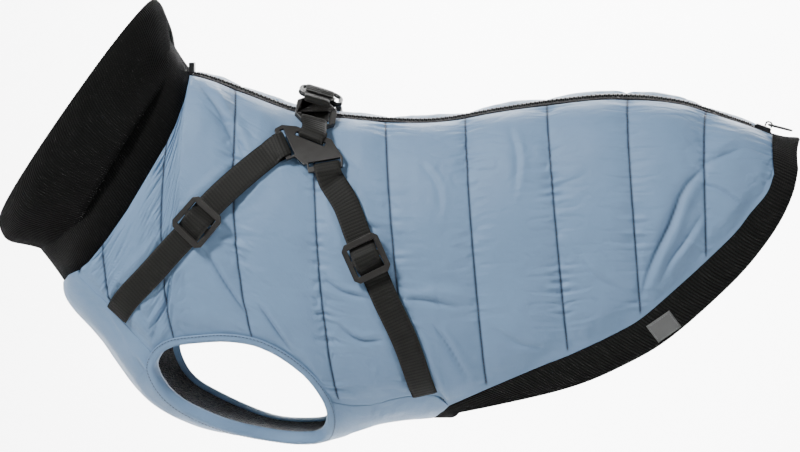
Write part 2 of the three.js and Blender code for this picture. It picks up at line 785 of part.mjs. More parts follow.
// Halves a triangle's longest edge again and again until no edge is longer than the limit.
function splitLong([a, b, c], limit) {
  const turns = [[a, b, c], [b, c, a], [c, a, b]];
  const [p, q, r] = turns.reduce((best, turn) => (
    turn[0].distanceTo(turn[1]) > best[0].distanceTo(best[1]) + 1e-6 ? turn : best
  ));
  if (p.distanceTo(q) <= limit) return [[a, b, c]];
  const middle = p.clone().add(q).multiplyScalar(0.5);
  return [...splitLong([p, middle, r], limit), ...splitLong([middle, q, r], limit)];
}

// A flat outline with holes, made thick; `move` places each of its points (a, b, height).
function thickOutline(outline, holes, thickness, move, longest = Infinity) {
  const shape = new Shape(outline.map(([a, b]) => new Vector2(a, b)));
  shape.holes = holes.map((hole) => new Shape(hole.map(([a, b]) => new Vector2(a, b))));
  const solid = new THREE.ExtrudeGeometry(shape, { depth: thickness, bevelEnabled: false });
  const position = solid.getAttribute('position');
  const corner = (i) => new Vector3().fromBufferAttribute(position, i);
  const triangles = [];
  for (let k = 0; k < position.count; k += 3) {
    for (const part of splitLong([corner(k), corner(k + 1), corner(k + 2)], longest)) {
      triangles.push(part.map(({ x, y, z }) => move(x, y, z)));
    }
  }
  return meshOf(triangles);
}

// A flat piece with holes, bent onto the surface by its map.
function bentPlate(outline, holes, thickness, bottom, map, longest) {
  const move = (a, b, height) => map.at(a, b, bottom + height);
  return thickOutline(outline, holes, thickness, move, longest);
}

// A rectangle's corners, cut off or square, about a point.
function rectangle(halfA, halfB, cut = 0, b0 = 0) {
  const corners = cut > 0
    ? [[halfA, halfB - cut], [halfA - cut, halfB], [cut - halfA, halfB], [-halfA, halfB - cut],
      [-halfA, cut - halfB], [cut - halfA, -halfB], [halfA - cut, -halfB], [halfA, cut - halfB]]
    : [[halfA, halfB], [-halfA, halfB], [-halfA, -halfB], [halfA, -halfB]];
  return corners.map(([a, b]) => [a, b0 + b]);
}

// Connector plate: a Y with a slot in each arm. `mid` is the middle of the slot's inner side on
// the map, `turn` the direction the webbing leaves in, `half` the webbing's half width.
const PLATE_MAP = surfaceMap({ x: -1, z: -12.7 }, 0);
const SLOT = 3.6;
const BAR = 3.8;
const ARMS = {
  top: { mid: [-2, -6.5], turn: 70 * RADIANS, half: 11 },
  front: { mid: [-17.9, -7.2], turn: 212 * RADIANS, half: 10 },
  rear: { mid: [10.8, -21.2], turn: 280 * RADIANS, half: 10 },
};

// A point of an arm: a distance outward from the slot's inner side, and one sideways.
function armPoint({ mid: [a, b], turn }, out, side) {
  const c = Math.cos(turn);
  const s = Math.sin(turn);
  return [a + c * out - s * side, b + s * out + c * side];
}

function armSlot(arm) {
  const half = arm.half + 1.7;
  const corners = [[0, -half], [SLOT, -half], [SLOT, half], [0, half]];
  return corners.map(([out, side]) => armPoint(arm, out, side));
}

const FULL_PUFF = SHELL + PUFF + 0.5; // harness pieces lie this high where they cross the filling
const PLATE_BOTTOM = FULL_PUFF + 2.8;

function connectorPlate() {
  const { top, front, rear } = ARMS;
  const end = SLOT + BAR;
  const outline = [
    armPoint(top, end, -15), armPoint(top, end, 15),
    armPoint(front, 0, -15), armPoint(front, end - 1, -14.5), armPoint(front, end, -13.5),
    armPoint(front, end, 12.5), armPoint(front, 1, 13.5), [-4, -25],
    armPoint(rear, 1, -13), armPoint(rear, end, -12.5), armPoint(rear, end, 12.5),
    armPoint(rear, 0, 13.5),
  ];
  return bentPlate(outline, [top, front, rear].map(armSlot), PLASTIC, PLATE_BOTTOM, PLATE_MAP, 14);
}

// Straps: the routes of the middle lines seen from the side, from the sewn end to the plate,
// and where the adjuster sits.
const STRAPS = {
  front: {
    route: table(['x', 'z'], [
      [-149.5, -144], [-139.4, -130.2], [-122.8, -113], [-102.2, -90.4], [-84.4, -71.7],
      [-76.2, -61], [-54, -40.5],
    ]),
    adjuster: { x: -84.4, z: -71.7 },
    arm: ARMS.front,
  },
  rear: {
    route: table(['x', 'z'], [
      [86.5, -200.5], [73.5, -159], [58, -125.5], [49.5, -106], [43.9, -95], [37.5, -80],
      [27.5, -57.5],
    ]),
    adjuster: { x: 44.2, z: -96 },
    arm: ARMS.rear,
  },
};

// The route as a curve on the surface; its last stretch runs straight through the arm's slot.
function strapCurve({ route, arm }) {
  const points = route.map((row) => raised(placeAt(row), 0));
  for (const out of [SLOT + BAR + 6, SLOT + BAR, SLOT, 0]) {
    points.push(PLATE_MAP.at(...armPoint(arm, out, 0), 0));
  }
  return new THREE.CatmullRomCurve3(points, false, 'centripetal');
}

const ADJUSTER = 30; // outer size both ways
const ADJUSTER_BAR = 4.6;
const ADJUSTER_BOTTOM = FULL_PUFF + 3.6;
const MIDDLE_BAR = 4;

// Half the webbing's thickness is added to each height, so a row gives the webbing's underside.
function strapHeights(length, adjusterAt) {
  const over = ADJUSTER_BOTTOM + PLASTIC + 0.8;
  const low = FULL_PUFF;
  const doubled = FULL_PUFF + 1.8;
  const bar = length - SLOT;
  return table(['along', 'height'], [
    [0, SHELL + 2.5], [9, low - 0.4], [20, low], [adjusterAt - 18, low],
    [adjusterAt - 9.2, doubled], [adjusterAt - 3.6, over], [adjusterAt + 3.6, over],
    [adjusterAt + 9.2, doubled], [bar - BAR - 10, doubled],
    [bar - BAR - 1.5, PLATE_BOTTOM + PLASTIC + 0.4],
    [bar, PLATE_BOTTOM + PLASTIC + 0.4], [bar + 1.2, PLATE_BOTTOM + PLASTIC - 0.6],
    [bar + 1.6, PLATE_BOTTOM + 0.3], [bar + 1.2, PLATE_BOTTOM - 1.4],
    [bar, low], [bar - BAR - 1.5, low], [bar - BAR - 12, low],
    [adjusterAt + 14, low], [adjusterAt + 4, low],
  ]);
}

// The direction of an arm's slot, in space.
function slotDirection(arm) {
  const end = (side) => PLATE_MAP.at(...armPoint(arm, SLOT, side), 0);
  return end(9).sub(end(-9)).normalize();
}

const SQUARE_TO_SLOT = 12; // over this length the strap lies square to its slot

// The places where a strap is measured: along its curve, at the heights of a table.
function strapSpots(curve, heights, arm) {
  const length = curve.getLength();
  const slot = slotDirection(arm);
  const spots = [];
  heights.forEach((row, i) => {
    const next = heights[Math.min(i + 1, heights.length - 1)];
    const steps = Math.max(1, Math.round(Math.abs(next.along - row.along) / 13));
    for (let k = 0; k < (next === row ? 1 : steps); k += 1) {
      const share = Math.min((row.along + ((next.along - row.along) * k) / steps) / length, 1);
      const place = placeAt(curve.getPointAt(share));
      const { normal } = bodyFrame(place.along, place.angle);
      const side = new Vector3().crossVectors(curve.getTangentAt(share), normal).normalize();
      const squared = side.dot(slot) > 0 ? slot : slot.clone().negate();
      spots.push({
        place,
        along: share * length,
        height: row.height + ((next.height - row.height) * k) / steps + WEBBING_THICK / 2,
        side: share * length > length - SQUARE_TO_SLOT ? squared : side,
      });
    }
  });
  return spots;
}

// A strap of webbing that bends with the surface; its face turns where it folds back.
function webbing(curve, heights, arm) {
  const half = WEBBING_THICK / 2;
  const spots = strapSpots(curve, heights, arm);
  return wall(spots.map(({ place, height, side }, i) => {
    const before = spots[Math.max(i - 1, 0)];
    const after = spots[Math.min(i + 1, spots.length - 1)];
    const turn = new Vector2(after.along - before.along, after.height - before.height).normalize();
    return [-WEBBING / 2, 0, WEBBING / 2].map((offset) => {
      const there = stepOver(place, side.clone().multiplyScalar(offset));
      const { normal } = bodyFrame(there.along, there.angle);
      const forward = new Vector3().crossVectors(normal, side).normalize();
      const face = normal.clone().multiplyScalar(turn.x).addScaledVector(forward, -turn.y);
      const middle = raised(there, height);
      return {
        outer: middle.clone().addScaledVector(face, half),
        inner: middle.clone().addScaledVector(face, -half),
      };
    });
  }));
}

function distanceAlong(curve, target) {
  const goal = raised(placeAt(target), 0);
  const away = (share) => curve.getPointAt(share).distanceTo(goal);
  const shares = Array.from({ length: 201 }, (_, i) => i / 200);
  const best = shares.reduce((kept, share) => (away(share) < away(kept) ? share : kept), 0);
  return best * curve.getLength();
}

function harnessStrap(strap) {
  const curve = strapCurve(strap);
  const heights = strapHeights(curve.getLength(), distanceAlong(curve, strap.adjuster));
  return webbing(curve, heights, strap.arm);
}

// Three-bar adjuster, bent onto the surface across its strap.
function adjuster(strap) {
  const curve = strapCurve(strap);
  const share = distanceAlong(curve, strap.adjuster) / curve.getLength();
  const map = surfaceMap(strap.adjuster, 0);
  const tangent = curve.getTangentAt(share);
  const origin = map.at(0, 0, 0);
  const a = map.at(1, 0, 0).sub(origin);
  const b = map.at(0, 1, 0).sub(origin);
  const turn = Math.atan2(tangent.dot(b), tangent.dot(a)) - Math.PI / 2;
  const windowHalf = ADJUSTER / 2 - ADJUSTER_BAR;
  const slotMid = (windowHalf + MIDDLE_BAR / 2) / 2;
  const slotHalf = (windowHalf - MIDDLE_BAR / 2) / 2;
  const slots = [slotMid, -slotMid].map((b0) => rectangle(WEBBING / 2 + 0.9, slotHalf, 0, b0));
  const c = Math.cos(turn);
  const s = Math.sin(turn);
  const along = { at: (p, q, height) => map.at(p * c - q * s, p * s + q * c, height) };
  const outline = rectangle(ADJUSTER / 2, ADJUSTER / 2, 3.5);
  return bentPlate(outline, slots, PLASTIC, ADJUSTER_BOTTOM, along, 16.3);
}

// Top of the harness: `q` is the distance to the left of the middle plane, `r` the height. A
// piece's width lies along the level line, which leans with the back. At the links it also turns
// inwards at its tail end, so that it is square to the link.
const TOP_LEAN = 17 * RADIANS;
const TOP_BASE = new Vector3(-0.5, 0, 0);
const TOP_WEBBING = 26;
const LINK_WEBBING = 20.2;
const LINK_BAR = 4;
const LINK_SIDE = 4.6;
const LINK_TOP = [17, 15.4];
const LINK_BOTTOM = [37.5, 1.7];
const LINK_TURN = Math.sin(TOP_LEAN) * (LINK_TOP[1] - LINK_BOTTOM[1]) / (LINK_BOTTOM[0] - LINK_TOP[0]);

function levelAt(q) {
  const share = Math.max(-1, Math.min(1, q / LINK_TOP[0]));
  return new Vector3(Math.cos(TOP_LEAN), LINK_TURN * share, -Math.sin(TOP_LEAN)).normalize();
}

function topPoint(q, r, level = 0) {
  return TOP_BASE.clone().add(new Vector3(0, -q, r)).addScaledVector(levelAt(q), level);
}

// Link: a rounded frame between the bridge over the back and the connector plate.
function linkFrame() {
  const [q0, r0] = LINK_TOP;
  const [q1, r1] = LINK_BOTTOM;
  const middle = topPoint((q0 + q1) / 2, (r0 + r1) / 2);
  const level = levelAt(LINK_TOP[0]);
  const down = new Vector3(0, q0 - q1, r1 - r0).normalize();
  const square = new Vector3().crossVectors(level, down);
  const halfLong = Math.hypot(q1 - q0, r1 - r0) / 2 + LINK_BAR / 2;
  const halfWide = LINK_WEBBING / 2 + 1.2;
  const outline = rectangle(halfWide + LINK_SIDE, halfLong, 6);
  const opening = rectangle(halfWide, halfLong - LINK_BAR);
  return thickOutline(outline, [opening], LINK_BAR, (a, b, height) => middle.clone()
    .addScaledVector(level, a)
    .addScaledVector(down, b)
    .addScaledVector(square, height - LINK_BAR / 2));
}

const topSpot = ([q, r]) => ({ point: topPoint(q, r), level: levelAt(q) });

// A strap of webbing along a row of spots; each has a point of the middle line and the
// direction of the strap's width there.
function strapAcross(spots, widthAt, closed = false, offset = 0) {
  const half = WEBBING_THICK / 2;
  const last = spots.length - 1;
  const lines = spots.map(({ point, level }, i) => {
    const next = closed ? (i + 1) % spots.length : Math.min(i + 1, last);
    const before = spots.at(closed ? i - 1 : Math.max(i - 1, 0)).point;
    const after = spots[next].point;
    const face = new Vector3().crossVectors(level, after.clone().sub(before)).normalize();
    return [-1, 1].map((end) => {
      const middle = point.clone().addScaledVector(level, offset + (end * widthAt(i)) / 2);
      return {
        outer: middle.clone().addScaledVector(face, half),
        inner: middle.clone().addScaledVector(face, -half),
      };
    });
  });
  return wall(lines, closed);
}

// Points on an arc round a bar's middle in the (q, r) plane; angles in degrees.
function roundBar([q, r], radius, from, to, count) {
  const points = [];
  for (let i = 0; i <= count; i += 1) {
    const angle = (from + ((to - from) * i) / count) * RADIANS;
    points.push([q + radius * Math.cos(angle), r + radius * Math.sin(angle)]);
  }
  return points;
}

const WRAP = LINK_BAR * 0.75 + WEBBING_THICK / 2 + 0.5; // webbing's middle line round a link bar

// The left half of a top piece's rows, the row in the middle, and the right half.
function mirroredRows(half, middle) {
  return [...half, middle, ...half.map(([q, r]) => [-q, r]).reverse()];
}

// Bridge over the back: a band round the upper bars of both links. Its ends meet underneath.
function bridge() {
  const rows = mirroredRows([
    [2.5, 13], [9, 12.8], ...roundBar(LINK_TOP, WRAP, 250, 460, 7), [10, 20.4],
  ], [0, 21.2]);
  const widthAt = (i) => (Math.abs(rows[i][0]) <= 10 ? TOP_WEBBING : LINK_WEBBING);
  return strapAcross(rows.map(topSpot), widthAt);
}

// Keeper: a narrower second layer that stands up in a low loop over the leash ring's bar.
function keeper() {
  const rows = mirroredRows([[10.2, 22], [8.4, 22.6], [6, 24], [3, 25.4]], [0, 25.8]);
  return strapAcross(rows.map(topSpot), () => TOP_WEBBING - 3, false, 0.8);
}

// Lower layer of the harness, lying on the back between the two link loops.
function backStrap() {
  const rows = mirroredRows([[27, 4.6], [22, 7.1], [17, 9.5], [9, 11]], [0, 11.2]);
  return strapAcross(rows.map(topSpot), () => LINK_WEBBING);
}

// Loop of webbing between the link's lower bar and the connector plate's upper bar.
function linkLoop() {
  const onPlate = (out, height) => {
    const end = (side) => PLATE_MAP.at(...armPoint(ARMS.top, out, side), height);
    return { point: end(0), level: end(-9).sub(end(9)).normalize() };
  };
  const [outer, inner] = [SLOT + BAR, SLOT];
  const above = PLATE_BOTTOM + PLASTIC + 0.8 + WEBBING_THICK / 2;
  const below = PLATE_BOTTOM - 0.6 - WEBBING_THICK / 2;
  return strapAcross([
    onPlate(inner - 1.2, above - 1.2), onPlate(inner + 0.6, above), onPlate(outer + 1, above),
    ...roundBar(LINK_BOTTOM, WRAP, 40, 235, 6).map(topSpot),
    onPlate(outer + 1, below), onPlate(inner + 0.6, below), onPlate(inner - 1.2, below + 1.2),
    onPlate(inner - 1.7, (above + below) / 2),
  ], () => LINK_WEBBING, true);
}

// A closed loop of round wire or bar through points, with an eight-sided section.
function wireLoop(points, radius, sideways) {
  const sides = 8;
  const rings = points.map((point, i) => {
    const run = points[(i + 1) % points.length].clone().sub(points.at(i - 1)).normalize();
    const out = sideways.clone();
    const third = new Vector3().crossVectors(run, out).normalize();
    const ring = [];
    for (let k = 0; k < sides; k += 1) {
      const angle = ((k + 0.5) / sides) * 2 * Math.PI;
      const spot = point.clone().addScaledVector(out, radius * Math.cos(angle));
      ring.push(spot.addScaledVector(third, radius * Math.sin(angle)));
    }
    return ring;
  });
  return sweep(rings, true);
}

// Leash ring: a D whose straight bar turns inside the bridge. It rests on the right link.
const RING_BAR = 17.1; // height of the straight bar's middle
const RING_HALF = 16;
const RING_ARM = 11;
const RING_BOW = 7.5;
const RING_TILT = 19 * RADIANS;

function leashRing() {
  const profile = [
    [-13.8, 0], [-4.5, 0], [4.5, 0], [13.8, 0], [RING_HALF, 2.4], [RING_HALF, 6.5],
  ];
  for (let i = 0; i <= 8; i += 1) {
    const angle = (i / 8) * Math.PI;
    profile.push([RING_HALF * Math.cos(angle), RING_ARM + RING_BOW * Math.sin(angle)]);
  }
  profile.push([-RING_HALF, 6.5], [-RING_HALF, 2.4]);
  const across = levelAt(0);
  const points = profile.map(([level, out]) => topPoint(
    -out * Math.cos(RING_TILT),
    RING_BAR + out * Math.sin(RING_TILT),
  ).addScaledVector(across, level));
  const square = new Vector3(0, -Math.sin(RING_TILT), Math.cos(RING_TILT));
  return wireLoop(points, WIRE / 2, square);
}

// Zip slider at the tail end, its pull, and the block at the neck end.
const SLIDER = { length: 13, width: 8.5, bottom: 1.4, top: 5.2, x: 340.2 };
const SLIDER_MAP = (() => {
  const onZip = (x) => {
    const { along, angle } = backPlace(x, 0);
    return bodyPoint(along, angle);
  };
  const back = onZip(SLIDER.x);
  const ahead = onZip(SLIDER.x + 5).sub(back).setY(0).normalize();
  const square = new Vector3(-ahead.z, 0, ahead.x);
  const at = (a, b, height) => back.clone()
    .addScaledVector(ahead, a)
    .addScaledVector(square, height)
    .add(new Vector3(0, -b, 0));
  return { at };
})();

function sideProfile(outline, halfWidth) {
  const move = (a, height, side) => SLIDER_MAP.at(a, side - halfWidth, height);
  return thickOutline(outline, [], 2 * halfWidth, move);
}

const PULL_PIVOT = { along: 3.5, height: 7.2 };
const PULL_WIRE = 0.8;

function zipSlider() {
  const { length, width, bottom, top } = SLIDER;
  const half = length / 2;
  return sideProfile([
    [-half, bottom], [half, bottom], [half, top - 0.6], [half - 1, top],
    [-half + 1.5, top], [-half, top - 1.2],
  ], width / 2);
}

// The slider's bridge, a small arch that the pull's bar turns in.
function sliderBridge() {
  const { along, height } = PULL_PIVOT;
  const foot = SLIDER.top + 0.3;
  return sideProfile([
    [along - 3, foot], [along - 1.7, foot], [along - 1.7, height + 0.9], [along - 0.8, height + 1.6],
    [along + 0.8, height + 1.6], [along + 1.7, height + 0.9], [along + 1.7, foot], [along + 3, foot],
    [along + 3, height + 1.4], [along + 1.4, height + 2.7], [along - 1.4, height + 2.7],
    [along - 3, height + 1.4],
  ], 1.4);
}

function zipPull() {
  const { along, height } = PULL_PIVOT;
  const profile = [];
  for (let i = 0; i <= 2; i += 1) profile.push([0, -2.8 + 2.8 * i]);
  for (let i = 0; i <= 8; i += 1) {
    const angle = (i / 8) * Math.PI;
    profile.push([2 + 16 * Math.sin(angle) ** 0.7, 3.6 * Math.cos(angle)]);
  }
  const tilt = 6 * RADIANS;
  const points = profile.map(([out, side]) => SLIDER_MAP.at(
    along + out * Math.cos(tilt),
    side,
    height + out * Math.sin(tilt),
  ));
  const square = SLIDER_MAP.at(-Math.sin(tilt), 0, Math.cos(tilt)).sub(SLIDER_MAP.at(0, 0, 0));
  return wireLoop(points, PULL_WIRE, square);
}

const NECK_BLOCK = { x: -103.5, halfX: 2.2, halfY: 4, height: 8.4, rise: 1.7 };

function zipBlock() {
  const { x, halfX, halfY, height, rise } = NECK_BLOCK;
  const place = backPlace(x, 0);
  const { point } = bodyFrame(place.along, place.angle);
  const box = new THREE.BoxGeometry(2 * halfX, 2 * halfY, height);
  box.translate(point.x + halfX + 1, point.y, point.z + height / 2 + rise);
  return box;
}

// Label sewn on the hem band.
const LABEL = { x: 266.6, z: -146.2, wide: 21, tall: 16.5, thick: 0.8, turn: 36 * RADIANS };

function label() {
  const map = surfaceMap(LABEL, LABEL.turn * -1);
  const outline = rectangle(LABEL.wide / 2, LABEL.tall / 2);
  return bentPlate(outline, [], LABEL.thick, BAND_RISE + BAND_WALL + 0.4, map, 7);
}

// Assembly

const CLOTH = { color: 0x8fa6c0, roughness: 0.55, metalness: 0 };
const FLEECE = { color: 0x3c3e42, roughness: 1, metalness: 0 };
const RIB = { color: 0x141517, roughness: 0.95, metalness: 0 };
const TAPE_BLACK = { color: 0x1b1c1e, roughness: 0.8, metalness: 0 };

const STRAP = { color: 0x2a2a28, roughness: 0.75, metalness: 0 };
const PLASTIC_GREY = { color: 0x3a3a3a, roughness: 0.45, metalness: 0 };
const METAL = { color: 0x2b2b2c, roughness: 0.3, metalness: 0.9 };
const LABEL_GREY = { color: 0x8f9192, roughness: 0.8, metalness: 0 };

const coat = new THREE.Group();

function add(name, geometry, look) {
  const mesh = new THREE.Mesh(geometry, new THREE.MeshStandardMaterial(look));
  mesh.name = name;
  coat.add(mesh);
}

function addPair(name, geometry, look) {
  add(`${name}_left`, geometry, look);
  add(`${name}_right`, mirrored(geometry), look);
}

add('side_panel_left', sidePanel(LEFT), CLOTH);
add('side_panel_right', mirrored(sidePanel(RIGHT)), CLOTH);
add('side_lining_left', sideLining(LEFT), FLEECE);
add('side_lining_right', mirrored(sideLining(RIGHT)), FLEECE);
add('chest_panel', chestPanel(), CLOTH);
add('chest_lining', chestLining(), FLEECE);
addPair('leg_binding', legBinding(), CLOTH);
add('collar', collar(), RIB);
add('hem_band', hemBand(), RIB);
add('zip_tape_left', zipTape(LEFT), TAPE_BLACK);
add('zip_tape_right', zipTape(RIGHT), TAPE_BLACK);
add('zip_teeth', zipTeeth(), TAPE_BLACK);

addPair('connector_plate', connectorPlate(), PLASTIC_GREY);
addPair('strap_front', harnessStrap(STRAPS.front), STRAP);
addPair('strap_rear', harnessStrap(STRAPS.rear), STRAP);
addPair('adjuster_front', adjuster(STRAPS.front), PLASTIC_GREY);
addPair('adjuster_rear', adjuster(STRAPS.rear), PLASTIC_GREY);
addPair('link_loop', linkLoop(), STRAP);
addPair('link_frame', linkFrame(), PLASTIC_GREY);
add('bridge', bridge(), STRAP);
add('back_strap', backStrap(), STRAP);
add('ring_keeper', keeper(), STRAP);
add('leash_ring', leashRing(), METAL);
add('zip_slider', zipSlider(), METAL);
add('slider_bridge', sliderBridge(), METAL);
add('zip_pull', zipPull(), METAL);
add('zip_block', zipBlock(), PLASTIC_GREY);
add('label', label(), LABEL_GREY);

export default coat;
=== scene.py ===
# %% [markdown]
# # A dog's winter coat
# The coat hangs in the air as if a dog wore it: quilted nylon over fleece, a folded rib collar, a
# rib hem, a zip along the back and a webbing harness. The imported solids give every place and
# size. This script lays fine cloth, knit, thread and webbing over them.

# %% Load the solids
import math

import bmesh
import bpy
import numpy as np
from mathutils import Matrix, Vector

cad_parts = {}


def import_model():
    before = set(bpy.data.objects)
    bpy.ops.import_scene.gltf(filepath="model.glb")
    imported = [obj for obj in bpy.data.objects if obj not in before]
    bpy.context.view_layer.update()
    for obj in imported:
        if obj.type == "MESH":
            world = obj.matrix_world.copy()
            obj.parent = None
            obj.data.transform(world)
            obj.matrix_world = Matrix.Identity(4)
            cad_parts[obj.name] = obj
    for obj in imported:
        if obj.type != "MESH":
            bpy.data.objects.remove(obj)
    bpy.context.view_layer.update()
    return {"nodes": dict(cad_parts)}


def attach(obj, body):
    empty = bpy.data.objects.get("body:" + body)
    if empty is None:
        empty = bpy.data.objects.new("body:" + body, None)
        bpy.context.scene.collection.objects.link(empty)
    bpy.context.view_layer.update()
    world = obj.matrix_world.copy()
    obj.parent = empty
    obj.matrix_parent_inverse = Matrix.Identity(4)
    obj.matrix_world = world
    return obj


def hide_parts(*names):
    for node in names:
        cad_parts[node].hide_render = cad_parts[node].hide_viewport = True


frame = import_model()
MM = 0.001

# %% [markdown]
# ## Camera
# The photograph looks at the left side from a little above and a little behind. A long lens from
# two metres away keeps the lines as straight as they are there.

# %% Camera
LONG_SIDE = 800
FOCAL_PIXELS = 2692
SENSOR = 36
AZIMUTH, ELEVATION = math.radians(5), math.radians(7)
TARGET = Vector((62, 0, -81.5)) * MM
DISTANCE = 2.1

camera_data = bpy.data.cameras.new("camera")
camera_data.sensor_width = SENSOR
camera_data.lens = FOCAL_PIXELS * SENSOR / LONG_SIDE
camera = bpy.data.objects.new("camera", camera_data)
bpy.context.scene.collection.objects.link(camera)
towards = Vector((-math.sin(AZIMUTH) * math.cos(ELEVATION),
                  math.cos(AZIMUTH) * math.cos(ELEVATION), -math.sin(ELEVATION)))
camera.location = TARGET - towards * DISTANCE
camera.rotation_mode = "QUATERNION"
camera.rotation_quaternion = towards.to_track_quat("-Z", "Y")
bpy.context.scene.camera = camera
print("lens", round(camera_data.lens, 1), "mm")

# %% [markdown]
# ## The form under the cloth
# Sixteen sections run from the neck to the tail. Each is an oval whose top and bottom points lie
# on the back and on the belly. A place on the coat is a pair: how far along the sections, and the
# angle round the section, 0 on the back and pi on the belly. All lengths here are millimetres.

# %% Sections
# back x, back z, belly x, belly z, half width, power of the upper half, power of the lower half
SECTIONS = np.array([
    (-104, 35.5, -201.5, -125, 58, 2.1, 2.1),
    (-92, 33.5, -197.5, -143, 62, 2.1, 2.2),
    (-77, 29, -168.5, -176.5, 67, 2.2, 2.3),
    (-60, 23, -134.5, -220, 71, 2.2, 2.3),
    (-40, 15, -91.5, -241, 75, 2.2, 2.4),
    (-18, 7.5, -45, -248, 78, 2.2, 2.4),
    (11, 3.5, -1.5, -250.5, 79, 2.2, 2.4),
    (50, 1, 50, -234.5, 79, 2.2, 2.4),
    (93, 1, 101.5, -229, 79, 2.2, 2.4),
    (139.5, 9.5, 156.5, -237, 79, 2.2, 2.2),
    (186, 17, 211, -236, 78, 2.2, 2.2),
    (232, 21, 261.5, -216, 76, 2.2, 2.2),
    (278, 16, 303.5, -184, 72, 2.2, 2.2),
    (316.5, 3, 339, -138, 65, 2.2, 2.2),
    (351, -9.5, 367.5, -89, 55, 2.2, 2.2),
    (374.5, -18.5, 390.5, -61.5, 43, 2.2, 2.2),
])
LEFT, RIGHT = 1, -1
# a side's name, and what its points are multiplied by: the right half mirrors the left one
SIDES = {LEFT: ("left", np.array([1, 1, 1])), RIGHT: ("right", np.array([1, -1, 1]))}


def smooth(rows, at):
    """Evenly spaced rows read at any place by a cubic that passes through every row."""
    last = len(rows) - 1
    at = np.clip(np.asarray(at, float), 0, last)
    i = np.minimum(at.astype(int), last - 1)
    f = (at - i)[..., None]
    b, c = rows[i], rows[i + 1]
    a = np.where((i > 0)[..., None], rows[np.maximum(i - 1, 0)], 2 * b - c)
    d = np.where((i < last - 1)[..., None], rows[np.minimum(i + 2, last)], 2 * c - b)
    square = 2 * a - 5 * b + 4 * c - d
    cube = 3 * b - a - 3 * c + d
    return 0.5 * (2 * b + (c - a) * f + square * f**2 + cube * f**3)


def oval(angle, power):
    """Cosine and sine of the angle, each divided by the power mean that makes the oval square."""
    cosine, sine = np.cos(angle), np.sin(angle)
    radius = (np.abs(cosine)**power + np.abs(sine)**power) ** (-1 / power)
    return radius * cosine, radius * sine


def body_point(along, angle):
    """Back point plus the run to the belly point times (1 - cosine) / 2, and width times sine."""
    along, angle = np.broadcast_arrays(np.asarray(along, float), np.asarray(angle, float))
    row = smooth(SECTIONS, along)
    cosine, sine = oval(angle, np.where(np.cos(angle) >= 0, row[..., 5], row[..., 6]))
    down = (1 - cosine) / 2
    return np.stack([row[..., 0] + (row[..., 2] - row[..., 0]) * down, -row[..., 4] * sine,
                     row[..., 1] + (row[..., 3] - row[..., 1]) * down], -1)


def unit(vectors):
    """Each vector divided by its length."""
    return vectors / np.maximum(np.linalg.norm(vectors, axis=-1, keepdims=True), 1e-12)


def directions(along, angle, step=0.01):
    """Slopes of the form by central differences: lengthways, round, and the outward normal."""
    lengthways = (body_point(along + step, angle) - body_point(along - step, angle)) / (2 * step)
    around = (body_point(along, angle + step) - body_point(along, angle - step)) / (2 * step)
    return lengthways, around, -unit(np.cross(lengthways, around))


def raised(along, angle, height):
    """The form's point moved out along the normal by the height."""
    return body_point(along, angle) + directions(along, angle)[2] * np.asarray(height)[..., None]


def step_over(along, angle, move):
    """Goes over the surface by a vector, in three parts, by least squares on its two slopes."""
    for _ in range(3):
        a, b, _normal = directions(along, angle)
        aa, ab, bb = (a * a).sum(-1), (a * b).sum(-1), (b * b).sum(-1)
        am, bm = (a * move).sum(-1) / 3, (b * move).sum(-1) / 3
        det = aa * bb - ab * ab
        along, angle = along + (am * bb - bm * ab) / det, angle + (bm * aa - am * ab) / det
    return along, angle


def halve(below, low, high, steps=40):
    """Halves the stretch between low and high until it holds the place where below changes."""
    for _ in range(steps):
        middle = (low + high) / 2
        is_below = below(middle)
        low, high = np.where(is_below, middle, low), np.where(is_below, high, middle)
    return (low + high) / 2


def place_at(x, z):
    """The place on the left half that is seen at (x, z) from the side."""
    x, z = np.broadcast_arrays(np.asarray(x, float), np.asarray(z, float))

    def before(along):
        row = smooth(SECTIONS, along)
        return ((row[..., 2] - row[..., 0]) * (z - row[..., 1])
                - (row[..., 3] - row[..., 1]) * (x - row[..., 0])) > 0

    start = np.zeros(x.shape)
    at_neck = before(start)
    along = halve(lambda m: before(m) == at_neck, start, start + len(SECTIONS) - 1)
    back, belly = body_point(along, 0), body_point(along, math.pi)
    run = belly - back
    drop = ((x - back[..., 0]) * run[..., 0] + (z - back[..., 2]) * run[..., 2]) \
        / (run[..., 0]**2 + run[..., 2]**2)
    cosine = np.clip(1 - 2 * drop, -1, 1)
    row = smooth(SECTIONS, along)
    power = np.where(cosine >= 0, row[..., 5], row[..., 6])
    return along, np.arctan2((1 - np.abs(cosine)**power) ** (1 / power), cosine)


# x, degrees that the zip lies turned towards the left
ZIP_TURN = np.array([(-104, 2), (-65, 5), (-20, 4), (20, 4), (52, 6), (114, 6), (176, 8),
                     (237, 9), (297, 6), (333, 2), (368, 0)], float)
# degrees round the neck from the nape, place along the sections
NECK_SEAM = np.array([(0, 0.05), (18, 0.5), (35, 1.05), (50, 1.33), (60, 1.4), (76, 1.37),
                      (92, 1.33), (108, 1.22), (122, 1.08), (131, 0.9), (143, 0.52), (180, 0.05)])


def back_place(x, width, side=LEFT):
    """The place on the back at x, a width to the left of the zip's middle line."""
    x, width = np.broadcast_arrays(np.asarray(x, float), np.asarray(width, float))
    start = np.zeros(x.shape)
    along = halve(lambda m: smooth(SECTIONS, m)[..., 0] < x, start, start + len(SECTIONS) - 1)
    turn = np.radians(np.interp(x, *ZIP_TURN.T)) * side
    return along, turn + np.arcsin(width / smooth(SECTIONS, along)[..., 4])


def neck_place(degrees):
    """The place on the neck seam at an angle round the neck."""
    return np.interp(degrees, *NECK_SEAM.T), np.radians(degrees)


print("half width at the ribs:", round(float(-body_point(8, math.pi / 2)[1]), 1), "mm")

